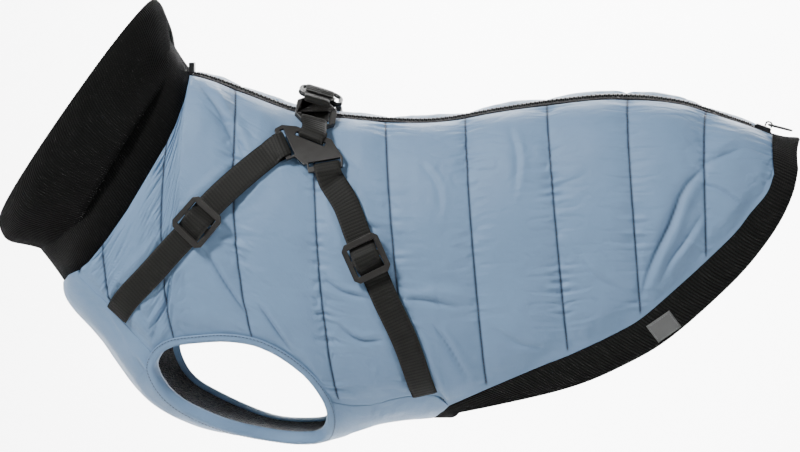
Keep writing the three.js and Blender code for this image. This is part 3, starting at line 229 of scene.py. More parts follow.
# %% [markdown]
# ## Lines through a few points
# Seams are given by a handful of points seen from the side. A centripetal cubic goes through all
# of them without the loops that a plain cubic makes where points lie close together.

# %% Curves


def curve(points, count, closed=False):
    """Centripetal cubic: each stretch's slopes are weighted by the root of the distances."""
    p = np.asarray(points, float)
    n = len(p)
    stretches = n if closed else n - 1
    t = np.linspace(0, stretches, count + 1)
    i = np.minimum(t.astype(int), stretches - 1)
    f = (t - i)[:, None]
    padded = p if closed else np.vstack([2 * p[0] - p[1], p, 2 * p[-1] - p[-2]])
    offset = 0 if closed else 1
    p0, p1, p2, p3 = (padded[(i + k + offset) % len(padded)] for k in (-1, 0, 1, 2))
    d0, d1, d2 = (np.maximum(np.linalg.norm(b - a, axis=1, keepdims=True), 1e-6) ** 0.5
                  for a, b in ((p0, p1), (p1, p2), (p2, p3)))
    s1 = ((p1 - p0) / d0 - (p2 - p0) / (d0 + d1) + (p2 - p1) / d1) * d1
    s2 = ((p2 - p1) / d1 - (p3 - p1) / (d1 + d2) + (p3 - p2) / d2) * d1
    made = p1 + s1 * f + (3 * (p2 - p1) - 2 * s1 - s2) * f**2 + (2 * (p1 - p2) + s1 + s2) * f**3
    return made[:-1] if closed else made


def run_length(points):
    """Distance along a line to each of its points."""
    steps = np.linalg.norm(np.diff(points, axis=0), axis=1)
    return np.concatenate([[0], np.cumsum(steps)])


def read_along(line, run, at):
    """The line's columns, read at distances along it."""
    return np.stack([np.interp(at, run, column) for column in line.T], -1)


def spaced(points, spacing):
    """The line's points again, at even distances of about the spacing."""
    run = run_length(points)
    count = max(int(round(run[-1] / spacing)), 2)
    return read_along(points, run, np.linspace(0, run[-1], count + 1))


# Seams of the left side, seen from the side: x, z
CHEST_SEAM = [(-183.8, -115), (-165.7, -130.5), (-159, -136), (-142, -154.8), (-124.5, -174.5)]
BELLY_SEAM = [(12, -208), (30, -212), (46, -211.5), (60, -207), (78, -203.5), (98, -204.5),
              (104, -212.5)]
HEM_SEAM = [(104, -212.5), (134, -197), (176.5, -177), (195.5, -169), (233.5, -150),
            (249, -140.5), (275, -117.5), (297.5, -96.5), (321, -73), (329.5, -61.5),
            (342.5, -46), (347.5, -33)]
HEM_EDGE = [(112, -220), (143, -211.5), (174, -203), (204, -193), (234, -179.5), (264, -162),
            (294, -136.5), (323, -108.5), (338, -90.5), (352.5, -69), (362.5, -46.5),
            (366.5, -30)]
LEG_HOLE = [(-124, -174), (-119, -168), (-109, -162), (-98.5, -159.3), (-84, -157.3),
            (-67, -155.7), (-44, -157.7), (-26, -164.3), (-9.5, -175), (2.5, -186),
            (11.5, -199.5), (16.5, -212.5), (16, -229.5), (8, -243), (-13, -247.5),
            (-52, -243), (-90, -229.5), (-114.5, -214.5), (-126.5, -196), (-128.5, -184)]


def round_hole(line):
    """A closed line round the hole, seen from the side: its places, the direction over the cloth
    away from the hole, and its points."""
    along, angle = place_at(line[:, 0], line[:, 1])
    points = body_point(along, angle)
    run = np.roll(points, -1, 0) - np.roll(points, 1, 0)
    return along, angle, -unit(np.cross(run, directions(along, angle)[2])), points


RAW_INSET = 3.9
HOLE_STEPS = 36
hole_along, hole_angle, hole_away, hole_points = round_hole(
    curve(LEG_HOLE, HOLE_STEPS, closed=True))
raw_along, raw_angle = step_over(hole_along, hole_angle, -hole_away * RAW_INSET)
raw_points = body_point(raw_along, raw_angle)


def nearest_on_hole(x, z):
    """Number of the hole's raw edge point that lies nearest to (x, z)."""
    goal = body_point(*place_at(x, z))
    return int(np.argmin(np.linalg.norm(raw_points - goal, axis=1)))


def hole_arc(first, last):
    """Numbers of the hole's places from one to another, counted up and past the last to 0."""
    return [i % HOLE_STEPS for i in range(first, first + (last - first) % HOLE_STEPS + 1)]


front_meet, rear_meet = nearest_on_hole(*CHEST_SEAM[-1]), nearest_on_hole(*BELLY_SEAM[0])
upper_arc, lower_arc = hole_arc(front_meet, rear_meet), hole_arc(rear_meet, front_meet)[::-1]
low_border = np.vstack([curve(CHEST_SEAM[:-1], 24), raw_points[upper_arc][:, [0, 2]],
                        curve(BELLY_SEAM[1:], 48), curve(HEM_SEAM, 88)[1:]])
print("leg hole meets the seams at", front_meet, "and", rear_meet)

# %% [markdown]
# ## Meshes from grids
# Every cloth here is a grid of points with two parameters. The grid becomes a closed wall: an
# outer and an inner sheet joined round the rim. Its UV map holds real lengths in metres, so that
# weave, ribs and stitches keep their size whatever the cloth does.

# %% Mesh helpers


def make_object(name, vertices, faces, uv=None):
    """A named mesh object from millimetres; uv is one pair for each vertex."""
    mesh = bpy.data.meshes.new(name)
    vertices, faces = np.asarray(vertices, np.float32), np.asarray(faces, np.int32)
    corners = faces.shape[1]
    mesh.vertices.add(len(vertices))
    mesh.vertices.foreach_set("co", (vertices * MM).ravel())
    mesh.loops.add(faces.size)
    mesh.loops.foreach_set("vertex_index", faces.ravel())
    mesh.polygons.add(len(faces))
    mesh.polygons.foreach_set("loop_start", np.arange(0, faces.size, corners, dtype=np.int32))
    mesh.update(calc_edges=True)
    if uv is not None:
        layer = mesh.uv_layers.new(name="cloth")
        layer.data.foreach_set("uv", np.asarray(uv, np.float32)[faces.ravel()].ravel())
    mesh.polygons.foreach_set("use_smooth", np.full(len(faces), True))
    thing = bpy.data.objects.new(name, mesh)
    bpy.context.scene.collection.objects.link(thing)
    return thing


def paint(thing, name, values):
    """Keeps one number for each vertex under a name that materials can read."""
    attribute = thing.data.attributes.new(name, "FLOAT", "POINT")
    attribute.data.foreach_set("value", np.asarray(values, np.float32).ravel())


def enclosed(vertices, faces):
    """Signed volume: a sixth of the sum of each corner dotted with the cross of the next two."""
    a, b, c = (vertices[faces[:, k]] for k in range(3))
    total = (a * np.cross(b, c)).sum()
    if faces.shape[1] == 4:
        total += (a * np.cross(c, vertices[faces[:, 3]])).sum()
    return total / 6


def outward(vertices, faces):
    """The faces, turned round where they point inwards."""
    return faces[:, ::-1] if enclosed(vertices, faces) < 0 else faces


def grid_faces(rows, columns, start=0, around=False):
    """Four corners of each cell of a grid; `around` joins the last row to the first."""
    i, j = np.meshgrid(np.arange(rows if around else rows - 1), np.arange(columns - 1),
                       indexing="ij")
    k = (i + 1) % rows
    at = start + i * columns + j
    over = start + k * columns + j
    return np.stack([at, over, over + 1, at + 1], -1).reshape(-1, 4)


def sparse(count, step):
    """Every step-th number from 0, and always the last one."""
    return np.unique(np.append(np.arange(0, count, step), count - 1))


def coarse_wall(name, outer, inner, uv, step):
    """A closed wall whose inner side keeps only every step-th row and column of its grid. Each
    border vertex of the outer side is joined to the kept inner vertex before or after it."""
    rows, columns = outer.shape[:2]
    kept_rows, kept_columns = sparse(rows, step), sparse(columns, step)
    fine = np.arange(rows * columns).reshape(rows, columns)
    low = np.arange(len(kept_rows) * len(kept_columns)).reshape(len(kept_rows), -1) + fine.size
    quads = np.vstack([grid_faces(rows, columns),
                       grid_faces(*low.shape, start=fine.size)[:, ::-1]])
    triangles = [quads[:, [0, 1, 2]], quads[:, [0, 2, 3]]]
    rims = [(fine[:, 0], low[:, 0], kept_rows, 1), (fine[:, -1], low[:, -1], kept_rows, -1),
            (fine[0], low[0], kept_columns, -1), (fine[-1], low[-1], kept_columns, 1)]
    for line, under, kept, turn in rims:
        cell = np.clip(np.searchsorted(kept, np.arange(len(line)), side="right") - 1, 0,
                       len(kept) - 1)
        fan = np.stack([line[:-1], under[cell[:-1]], line[1:]], -1)
        bridge = np.stack([line[kept[1:]], under[:-1], under[1:]], -1)
        triangles += [strip[:, ::turn] for strip in (fan, bridge)]
    faces = np.vstack(triangles)
    pick = np.ix_(kept_rows, kept_columns)
    vertices = np.vstack([outer.reshape(-1, 3), inner[pick].reshape(-1, 3)])
    return make_object(name, vertices, outward(vertices, faces),
                       np.vstack([uv.reshape(-1, 2), uv[pick].reshape(-1, 2)]))


def wall_object(name, outer, inner, uv, around=False):
    """A closed wall between two grids of points, joined along the open sides."""
    rows, columns = outer.shape[:2]
    count = rows * columns
    vertices = np.vstack([outer.reshape(-1, 3), inner.reshape(-1, 3)])
    index = np.arange(count).reshape(rows, columns)
    outside = grid_faces(rows, columns, around=around)
    inside = outside[:, ::-1] + count
    rims = [(np.append(index[:, 0], index[0, 0]) if around else index[:, 0], 1),
            (np.append(index[:, -1], index[0, -1]) if around else index[:, -1], -1)]
    if not around:
        rims += [(index[0], -1), (index[-1], 1)]
    strips = []
    for line, turn in rims:
        a, b = line[:-1], line[1:]
        strip = np.stack([a, a + count, b + count, b], -1)
        strips.append(strip if turn > 0 else strip[:, ::-1])
    faces = np.vstack([outside, inside, *strips])
    return make_object(name, vertices, outward(vertices, faces),
                       np.vstack([uv.reshape(-1, 2)] * 2))


def tube_faces(count, sides, around=False):
    """Two triangles for each cell between rings of points; `around` joins the last ring to the
    first."""
    i, j = np.meshgrid(np.arange(count if around else count - 1), np.arange(sides), indexing="ij")
    k, m = (i + 1) % count, (j + 1) % sides
    quads = np.stack([i * sides + j, k * sides + j, k * sides + m, i * sides + m], -1)
    quads = quads.reshape(-1, 4)
    return np.vstack([quads[:, [0, 1, 2]], quads[:, [0, 2, 3]]])


def closed_tube(name, rings, uv):
    """A closed body from rings of points, the last joined to the first."""
    vertices = rings.reshape(-1, 3)
    faces = tube_faces(*rings.shape[:2], around=True)
    return make_object(name, vertices, outward(vertices, faces), uv.reshape(-1, 2))


def cloth_map(a, b):
    """UV pairs in metres from two lengths in millimetres."""
    return np.stack(np.broadcast_arrays(a, b), -1) * MM


def lengths_along(points, axis):
    """Distances from the first row or column of a grid of points, summed along the axis."""
    first = np.take(points, [0], axis)
    return np.cumsum(np.linalg.norm(np.diff(points, axis=axis, prepend=first), axis=2), axis)


def finished(thing, material, body="coat", stands_for=()):
    """Gives a piece its material and its body, and hides the solids it stands for."""
    thing.data.materials.clear()
    thing.data.materials.append(material)
    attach(thing, body)
    if stands_for:
        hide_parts(*stands_for)
    return thing


# %% [markdown]
# ## Unevenness
# Real cloth is never regular. A lattice of seeded random numbers, read between its points by a
# soft curve, gives gentle bumps of any size, the same ones in every run.

# %% Noise
LATTICE = np.random.default_rng(7).uniform(-1, 1, (8, 128, 128))


def noise(a, b, layer=0):
    """Value noise: four lattice corners mixed by f squared times (3 - 2f), once each way."""
    table = LATTICE[layer]
    i, j = np.floor(a).astype(int), np.floor(b).astype(int)
    f, g = a - i, b - j
    f, g = f * f * (3 - 2 * f), g * g * (3 - 2 * g)
    i0, i1, j0, j1 = i % 128, (i + 1) % 128, j % 128, (j + 1) % 128
    low = table[i0, j0] * (1 - f) + table[i1, j0] * f
    high = table[i0, j1] * (1 - f) + table[i1, j1] * f
    return low * (1 - g) + high * g


def soft_step(low, high, value):
    """0 below low, 1 above high, and a soft curve between."""
    f = np.clip((value - low) / (high - low), 0, 1)
    return f * f * (3 - 2 * f)


print("noise spreads", round(float(LATTICE.std()), 2))

# %% [markdown]
# ## Finishes
# Nylon, fleece, rib knit, woven strap, moulded plastic, dark metal and thread. Three effects are
# shared as node groups: a plain weave, ribs, and a slow drift of colour as on any dyed cloth. The
# groups put out heights and colours; each material has its own shader.

# %% Node helpers


class Nodes:
    """A node tree with short calls: add a node with its settings and join its sockets."""

    def __init__(self, tree):
        self.tree = tree

    def add(self, kind, settings=None, **inputs):
        node = self.tree.nodes.new(kind)
        for key, value in (settings or {}).items():
            setattr(node, key, value)
        for key, value in inputs.items():
            socket = node.inputs[int(key[1:]) if key[1:].isdigit() else key.replace("_", " ")]
            if isinstance(value, bpy.types.NodeSocket):
                self.tree.links.new(value, socket)
            else:
                socket.default_value = value
        return node

    def math(self, operation, a, b=0.0):
        node = self.add("ShaderNodeMath", {"operation": operation}, i0=a, i1=b)
        return node.outputs[0]


def new_group(name, inputs, output, kind="NodeSocketFloat"):
    """An empty node group with inputs, of which the numbers have a value, and one output."""
    group = bpy.data.node_groups.new(name, "ShaderNodeTree")
    kinds = {"Coordinate": "NodeSocketVector", "Color": "NodeSocketColor"}
    for label, value in inputs.items():
        socket = group.interface.new_socket(label, in_out="INPUT",
                                            socket_type=kinds.get(label, "NodeSocketFloat"))
        if value is not None:
            socket.default_value = value
    group.interface.new_socket(output, in_out="OUTPUT", socket_type=kind)
    nodes = Nodes(group)
    return group, nodes, nodes.add("NodeGroupInput"), nodes.add("NodeGroupOutput")


def weave_group():
    """Height of a plain weave: the sine across times the sine along, on lengths in metres."""
    inputs = {"Coordinate": None, "Across": 500, "Along": 500}
    group, nodes, given, out = new_group("weave", inputs, "Height")
    split = nodes.add("ShaderNodeSeparateXYZ", i0=given.outputs[0])
    waves = [nodes.math("SINE", nodes.math("MULTIPLY", split.outputs[k], given.outputs[1 + k]))
             for k in range(2)]
    nodes.tree.links.new(nodes.math("MULTIPLY", *waves), out.inputs[0])
    return group


def rib_group():
    """Height of ribs: the absolute sine across them, with small knit loops along each rib."""
    inputs = {"Coordinate": None, "Across": 500, "Along": 500}
    group, nodes, given, out = new_group("ribs", inputs, "Height")
    split = nodes.add("ShaderNodeSeparateXYZ", i0=given.outputs[0])
    across = nodes.math("MULTIPLY", split.outputs[0], given.outputs[1])
    along = nodes.math("MULTIPLY", split.outputs[1], given.outputs[2])
    rib = nodes.math("ABSOLUTE", nodes.math("SINE", across))
    slope = nodes.math("MULTIPLY", nodes.math("COSINE", nodes.math("MULTIPLY", across, 2.0)), 0.8)
    loop = nodes.math("ABSOLUTE", nodes.math("SINE", nodes.math("ADD", along, slope)))
    total = nodes.math("ADD", rib, nodes.math("MULTIPLY", loop, 0.5))
    nodes.tree.links.new(total, out.inputs[0])
    return group


def drift_group():
    """The colour, lighter and darker by a share that follows a slow noise in space."""
    inputs = {"Color": None, "Amount": 0.1, "Size": 20}
    group, nodes, given, out = new_group("colour_drift", inputs, "Color", "NodeSocketColor")
    place = nodes.add("ShaderNodeTexCoord")
    cloud = nodes.add("ShaderNodeTexNoise", Vector=place.outputs["Object"],
                      Scale=given.outputs[2], Detail=3.0, Roughness=0.55)
    part = nodes.math("MULTIPLY", nodes.math("SUBTRACT", cloud.outputs["Fac"], 0.5),
                      given.outputs[1])
    change = nodes.math("ADD", nodes.math("MULTIPLY", part, 2.0), 1.0)
    shade = nodes.add("ShaderNodeVectorMath", {"operation": "SCALE"}, i0=given.outputs[0],
                      Scale=change)
    nodes.tree.links.new(shade.outputs[0], out.inputs[0])
    return group


GROUPS = {"weave": weave_group(), "ribs": rib_group(), "drift": drift_group()}
print("groups:", sorted(GROUPS))

# %% Materials


def new_material(name, **shader):
    """A material with a Principled shader whose plain sockets are set by name."""
    material = bpy.data.materials.new(name)
    material.use_nodes = True
    nodes = Nodes(material.node_tree)
    principled = next(n for n in material.node_tree.nodes if n.type == "BSDF_PRINCIPLED")
    for key, value in shader.items():
        principled.inputs[key.replace("_", " ")].default_value = value
    return material, nodes, principled


def placed_group(nodes, name, **inputs):
    """A shared group in this material, with its values."""
    return nodes.add("ShaderNodeGroup", {"node_tree": GROUPS[name]}, **inputs).outputs[0]


def dyed(nodes, shader, colour, amount, size):
    """Gives the shader a colour that drifts by an amount, in patches of a size."""
    drifted = placed_group(nodes, "drift", Color=colour, Amount=amount, Size=size)
    nodes.tree.links.new(drifted, shader.inputs["Base Color"])


def bumped(nodes, principled, layers):
    """Joins heights into the shader's normal, one Bump node after another: height, distance."""
    normal = None
    for height, distance in layers:
        bump = nodes.add("ShaderNodeBump", Height=height, Distance=distance, Strength=1.0)
        if normal is not None:
            nodes.tree.links.new(normal, bump.inputs["Normal"])
        normal = bump.outputs[0]
    nodes.tree.links.new(normal, principled.inputs["Normal"])


def attribute_value(nodes, name):
    """The number that paint kept at each vertex."""
    return nodes.add("ShaderNodeAttribute", {"attribute_name": name}).outputs["Fac"]


TURN = 2 * math.pi


def nylon():
    """Blue nylon: a tight weave with a soft sheen, and painted shade in the stitched channels and
    crease cores.
    """
    material, nodes, shader = new_material("quilted_nylon", Roughness=0.46, Sheen_Weight=0.03,
                                           Sheen_Roughness=0.45, Specular_IOR_Level=0.22)
    shader.inputs["Sheen Tint"].default_value = (0.8, 0.88, 1, 1)
    # painted shade: the painted share mixes the blue towards near black in the stitched channels,
    # the crease cores and along the binding's sewn line
    deep = attribute_value(nodes, "channel_shade")
    mix = nodes.add("ShaderNodeMix", {"data_type": "RGBA"}, i0=deep)
    mix.inputs[6].default_value = (0.19, 0.305, 0.47, 1)
    mix.inputs[7].default_value = (0.014, 0.026, 0.055, 1)
    dyed(nodes, shader, mix.outputs[2], 0.09, 28.0)
    uv = nodes.add("ShaderNodeUVMap", {"uv_map": "cloth"}).outputs[0]
    weave = placed_group(nodes, "weave", Coordinate=uv, Across=TURN / 0.0007, Along=TURN / 0.0007)
    crinkle = nodes.add("ShaderNodeTexNoise", Vector=uv, Scale=240.0, Detail=4.0, Roughness=0.6)
    bumped(nodes, shader, [(crinkle.outputs["Fac"], 0.00035), (weave, 0.00003)])
    return material


def fleece():
    """Short brushed pile: grey with a darker and lighter fleck, and a furry edge of sheen."""
    material, nodes, shader = new_material("fleece", Roughness=0.95, Sheen_Weight=0.7,
                                           Sheen_Roughness=0.6, Specular_IOR_Level=0.1)
    place = nodes.add("ShaderNodeTexCoord").outputs["Object"]
    fleck = nodes.add("ShaderNodeTexNoise", Vector=place, Scale=420.0, Detail=6.0, Roughness=0.75)
    ramp = nodes.add("ShaderNodeValToRGB", i0=fleck.outputs["Fac"])
    ramp.color_ramp.elements[0].position, ramp.color_ramp.elements[1].position = 0.36, 0.68
    ramp.color_ramp.elements[0].color = (0.008, 0.008, 0.009, 1)
    ramp.color_ramp.elements[1].color = (0.13, 0.13, 0.132, 1)
    dyed(nodes, shader, ramp.outputs[0], 0.5, 70.0)
    tuft = nodes.add("ShaderNodeTexVoronoi", Vector=place, Scale=620.0)
    bumped(nodes, shader, [(fleck.outputs["Fac"], 0.0012), (tuft.outputs["Distance"], 0.0006)])
    return material


def ribbed(nodes, shader, spacings, dark, light, drift):
    """Ribs at two spacings, across and along, in metres. Their colour is painted shade, from dark
    between them to light on top, and their height is the result."""
    uv = nodes.add("ShaderNodeUVMap", {"uv_map": "cloth"}).outputs[0]
    across, along = (math.pi / spacing for spacing in spacings)
    ribs = placed_group(nodes, "ribs", Coordinate=uv, Across=across, Along=along)
    # painted shade: dark in the grooves between ribs, light on their tops
    rib_shade_ramp = nodes.add("ShaderNodeValToRGB", i0=nodes.math("MULTIPLY", ribs, 0.66))
    rib_shade_ramp.color_ramp.elements[0].color = (*dark, 1)
    rib_shade_ramp.color_ramp.elements[1].color = (*light, 1)
    dyed(nodes, shader, rib_shade_ramp.outputs[0], *drift)
    return ribs


def rib_knit(name, across, along, light):
    """Black rib knit: fine wales at the given spacing with painted shade between them, a matt
    fuzzy face.
    """
    material, nodes, shader = new_material(name, Roughness=0.92, Sheen_Weight=0.04,
                                           Sheen_Roughness=0.5, Specular_IOR_Level=0.12)
    ribs = ribbed(nodes, shader, (across, along), (0.0012, 0.0012, 0.0012),
                  (light, light, 0.95 * light), (0.25, 40.0))
    place = nodes.add("ShaderNodeTexCoord").outputs["Object"]
    fuzz = nodes.add("ShaderNodeTexNoise", Vector=place, Scale=2200.0, Detail=3.0)
    bumped(nodes, shader, [(ribs, 0.0004), (fuzz.outputs["Fac"], 0.0002)])
    return material


def woven_strap(name, dark, light, across, along, depth):
    """Flat woven tape: weft ribs straight across, with fine warp threads over them and painted
    shade between the ribs.
    """
    material, nodes, shader = new_material(name, Roughness=0.66, Sheen_Weight=0.03,
                                           Specular_IOR_Level=0.25)
    ribs = ribbed(nodes, shader, (across, along), dark, light, (0.12, 60.0))
    bumped(nodes, shader, [(ribs, depth)])
    return material


def moulded(name, colour, roughness, metallic=0.0, grain=0.00006):
    """Moulded plastic or dark plating: fine grain, with patches that are a little more worn."""
    material, nodes, shader = new_material(name, Metallic=metallic, Specular_IOR_Level=0.5)
    place = nodes.add("ShaderNodeTexCoord").outputs["Object"]
    dyed(nodes, shader, (*colour, 1), 0.16, 90.0)
    patch = nodes.add("ShaderNodeTexNoise", Vector=place, Scale=140.0, Detail=4.0)
    wear = nodes.add("ShaderNodeMapRange", i0=patch.outputs["Fac"])
    wear.inputs[3].default_value, wear.inputs[4].default_value = roughness - 0.1, roughness + 0.12
    nodes.tree.links.new(wear.outputs[0], shader.inputs["Roughness"])
    fine = nodes.add("ShaderNodeTexNoise", Vector=place, Scale=2600.0, Detail=2.0)
    bumped(nodes, shader, [(fine.outputs["Fac"], grain)])
    return material


def thread(name, colour):
    """Spun thread: matt, with a twist along the stitch."""
    material, nodes, shader = new_material(name, Roughness=0.6, Sheen_Weight=0.2)
    place = nodes.add("ShaderNodeTexCoord").outputs["Object"]
    twist = nodes.add("ShaderNodeTexWave", Vector=place, Scale=900.0, Distortion=2.0)
    dyed(nodes, shader, (*colour, 1), 0.2, 200.0)
    bumped(nodes, shader, [(twist.outputs["Fac"], 0.00008)])
    return material


NYLON = nylon()
FLEECE = fleece()
RIB_SPACING = 0.00163
COLLAR_KNIT = rib_knit("collar_rib", RIB_SPACING, 0.0011, 0.008)
HEM_KNIT = rib_knit("hem_rib", 0.0025, 0.0016, 0.015)
WEBBING_CLOTH = woven_strap("webbing", (0.002, 0.002, 0.0018), (0.014, 0.0138, 0.0115), 0.0024,
                            0.0019, 0.00016)
TAPE_CLOTH = woven_strap("zip_tape_weave", (0.004, 0.004, 0.0045), (0.017, 0.017, 0.018), 0.001,
                         0.0008, 0.00015)
LABEL_CLOTH = woven_strap("label_weave", (0.1, 0.102, 0.1), (0.2, 0.203, 0.197), 0.0006, 0.0006,
                          0.00012)
TEETH_PLASTIC = moulded("zip_teeth_plastic", (0.012, 0.012, 0.013), 0.38)
FITTING_PLASTIC = moulded("fitting_plastic", (0.022, 0.0205, 0.0185), 0.4)
DARK_METAL = moulded("dark_metal", (0.03, 0.03, 0.031), 0.34, metallic=0.7, grain=0.00002)
QUILT_THREAD = thread("quilting_thread", (0.01, 0.017, 0.034))
BLACK_THREAD = thread("black_thread", (0.008, 0.008, 0.009))
GREY_THREAD = thread("grey_thread", (0.22, 0.225, 0.23))
print(len(bpy.data.materials), "materials")

# %% [markdown]
# ## Quilted side panels
# Shell, filling and backing are stitched together along lines that run from the zip to the belly.
# Between two lines the filling lifts the cloth; at a line it dips, and the pull of the thread
# makes short puckers square to it. One grid of points carries all of this: its columns follow
# the stitching, and its height is a sum of filling, puckers, listed creases and soft noise.

# %% Columns of the side panels
SHELL, PUFF = 1.6, 3.6
THINNEST, THICKEST = 0.9, 6.9
ZIP_HALF = 8
# how far below the zip the filling is at its full height
EDGE_RISE = {LEFT: 26, RIGHT: 12}
WALL_STEP = 3
NO = math.nan
# neck angle or back x of the upper end, x of the lower end, steps in the solid, stitched or not
STATIONS = np.array([
    (129, NO, -181.5, 4, 1), (111, NO, -154.5, 3, 1),
    (74, NO, raw_points[front_meet, 0], 2, 0), (60, NO, -104.5, 6, 1), (NO, -101, -84, 3, 0),
    (NO, -65, -43, 5, 1), (NO, -12, raw_points[rear_meet, 0], 1, 0), (NO, -4, 21, 5, 1),
    (NO, 52, 77, 3, 1), (NO, 91, 104, 2, 0), (NO, 114, 134, 5, 1), (NO, 176.5, 195.5, 5, 1),
    (NO, 237.5, 249.5, 5, 1), (NO, 297, 297.5, 4, 1), (NO, 348, 347.5, 1, 1)])
NUMBERS = np.arange(len(STATIONS))
ZIP_CORNER = 4
BELLY_STATION = 9


def column_ends(s, side):
    """Upper and lower place of the column at station number s, whole or between two."""
    corner = np.degrees(back_place(STATIONS[ZIP_CORNER, 1], ZIP_HALF, side)[1])
    angles = np.append(STATIONS[:ZIP_CORNER, 0], corner)
    on_neck = neck_place(np.interp(s, NUMBERS[:ZIP_CORNER + 1], angles))
    back_x = np.interp(s, NUMBERS[ZIP_CORNER:], STATIONS[ZIP_CORNER:, 1])
    on_zip = back_place(back_x, ZIP_HALF, side)
    top = [np.where(s < ZIP_CORNER, a, b) for a, b in zip(on_neck, on_zip)]
    low_x = np.interp(s, NUMBERS, STATIONS[:, 2])
    return top, place_at(low_x, np.interp(low_x, low_border[:, 0], low_border[:, 1]))


def reach_of(s, side):
    """How far along the coat a column lies: the mean x of its two ends."""
    top, low = column_ends(s, side)
    return (body_point(*top)[..., 0] + body_point(*low)[..., 0]) / 2


def stitched_lines(side):
    """How far along the coat each stitched line lies."""
    return reach_of(NUMBERS[STATIONS[:, 4] == 1].astype(float), side)


def even_columns(count, side, start=0.0, closer=0.0):
    """Station numbers of columns at even distances along the coat, or crowded beside the
    stitched lines: there the spacing is divided by 1 + closer."""
    fine = np.linspace(start, NUMBERS[-1], 4000)
    reach = np.maximum.accumulate(reach_of(fine, side))
    gap = np.abs(reach[:, None] - stitched_lines(side)).min(1)
    weight = 1 + closer * np.exp(-(gap / 3.5)**2)
    travel = np.append(0, np.cumsum(np.diff(reach) * weight[1:]))
    return np.interp(np.linspace(0, travel[-1], count), travel, fine)


def panel_places(s, f, side):
    """Places of the grid: straight mixes of each column's two ends, by the fractions f."""
    top, low = column_ends(s, side)
    along, angle = (t[:, None] + (b - t)[:, None] * f[None, :] for t, b in zip(top, low))
    return along, angle


print("reach of the panel:", np.round(reach_of(NUMBERS[[0, -1]].astype(float), LEFT)), "mm")

# %% Creases
# Each has a depth, a width and points seen from the side. A negative depth is a ridge.
CREASES = [
    (1.9, 4.2, [(296, -27), (279.9, -43.4), (270.5, -67.6), (260.4, -88.5), (253.9, -105),
                (249.6, -121)]),
    (1.1, 3.0, [(293.5, -62.4), (282.5, -79.5), (270.8, -95.2), (263.6, -111.1)]),
    (0.9, 1.8, [(292.5, -39.7), (306.7, -44.2), (325.4, -56.8)]),
    (1.1, 4.0, [(297, -25), (308, -21), (322, -17)]),
    (1.5, 3.2, [(-79.5, -91.9), (-63.2, -118.9), (-45.7, -143.7)]),
    (1.5, 3.0, [(-37.8, -133.5), (-24.3, -153.2), (-14.6, -167.1)]),
    (1.2, 2.6, [(11.1, -111.3), (24.7, -121), (49.6, -126.8)]),
    (1.3, 2.6, [(22.3, -147.1), (37.2, -157.8), (54.6, -157.6)]),
    (1.2, 2.8, [(69.3, -126.6), (93.4, -127.8), (114.4, -132.8)]),
    (1.3, 3.2, [(94, -145.4), (107.4, -165.7), (118.4, -185.8)]),
    (1.3, 2.6, [(-109.5, -127.3), (-112.2, -138.3), (-118.2, -149.6), (-121.4, -162)]),
    (1.3, 5.0, [(-90.9, 26), (-73.6, 8), (-58.7, -17.5)]),
    (1.0, 4.0, [(-84, 12), (-62, -6), (-50, -28)]),
    (0.9, 3.4, [(-32, 2), (-26, -12), (-24, -30)]),
    (0.9, 3.0, [(150, -4), (156, -22), (155, -48)]),
    (0.8, 3.6, [(200, -90), (214, -108), (236, -118)]),
    (0.8, 3.4, [(142, -150), (160, -160), (182, -163)]),
    (-0.9, 5.0, [(84, -120), (104, -121), (124, -126)]),
    (0.8, 3.2, [(-130, -60), (-118, -82), (-112, -104)]),
    (0.9, 2.6, [(-150, -118), (-138, -128), (-126, -146)]),
    (1.2, 3.0, [(-137.8, -179.7), (-130.2, -190.7)]),
    (0.9, 3.4, [(-168, -140), (-156, -152), (-148, -168)]),
    (0.9, 3.0, [(30, -60), (42, -72), (64, -76)]),
    (0.7, 2.8, [(84, -30), (96, -44), (100, -62)]),
]
# how far towards the tail the right side's creases lie, so that the two sides differ
RIGHT_SHIFT = 7
CREASE_DEPTH = 1.5


def crease_heights(points, normals, side):
    """Each crease is a trough, minus depth times exp of minus (distance / width) squared, with a
    sharper core and a lower ridge beside it; all fade towards its two ends. The second result
    is painted shade for the colour: 1 in the core of the deep ones."""
    total = np.zeros(points.shape[:-1])
    crease_shade = np.zeros(points.shape[:-1])
    for depth, width, route in CREASES:
        line = np.array(route, float)
        line[:, 0] += 0 if side == LEFT else RIGHT_SHIFT
        line = curve(line, 12)
        line = body_point(*place_at(line[:, 0], line[:, 1]))
        run = run_length(line)
        near = np.full(total.shape, 1e9)
        signed, share = np.zeros(total.shape), np.zeros(total.shape)
        close = np.linalg.norm(points - line.mean(0), axis=-1) < run[-1] / 2 + 6 * width + 8
        if not close.any():
            continue
        p, n = points[close], normals[close]
        best, across, part = near[close], signed[close], share[close]
        for a, b, start in zip(line[:-1], line[1:], run[:-1]):
            step = b - a
            f = np.clip((p - a) @ step / (step @ step), 0, 1)
            gap = p - a - f[:, None] * step
            distance = np.linalg.norm(gap, axis=1)
            nearer = distance < best
            best = np.where(nearer, distance, best)
            side_of = np.sign((gap * np.cross(n, step)).sum(1))
            across = np.where(nearer, distance * side_of, across)
            part = np.where(nearer, (start + f * np.linalg.norm(step)) / run[-1], part)
        fade = np.sin(np.pi * np.clip(part, 0.03, 0.97)) ** 0.6
        sharp = np.exp(-(best / (0.28 * width))**2)
        trough = 0.7 * np.exp(-(best / width)**2) + 0.5 * sharp
        ridge = 0.75 * np.exp(-((across - 1.5 * width) / width)**2)
        total[close] += CREASE_DEPTH * depth * fade * (ridge - trough)
        # painted shade in the cores of the deeper creases
        crease_shade[close] = np.maximum(crease_shade[close], sharp * fade * np.clip(depth - 0.9, 0, 1))
    return total, crease_shade


print(len(CREASES), "creases on each side")

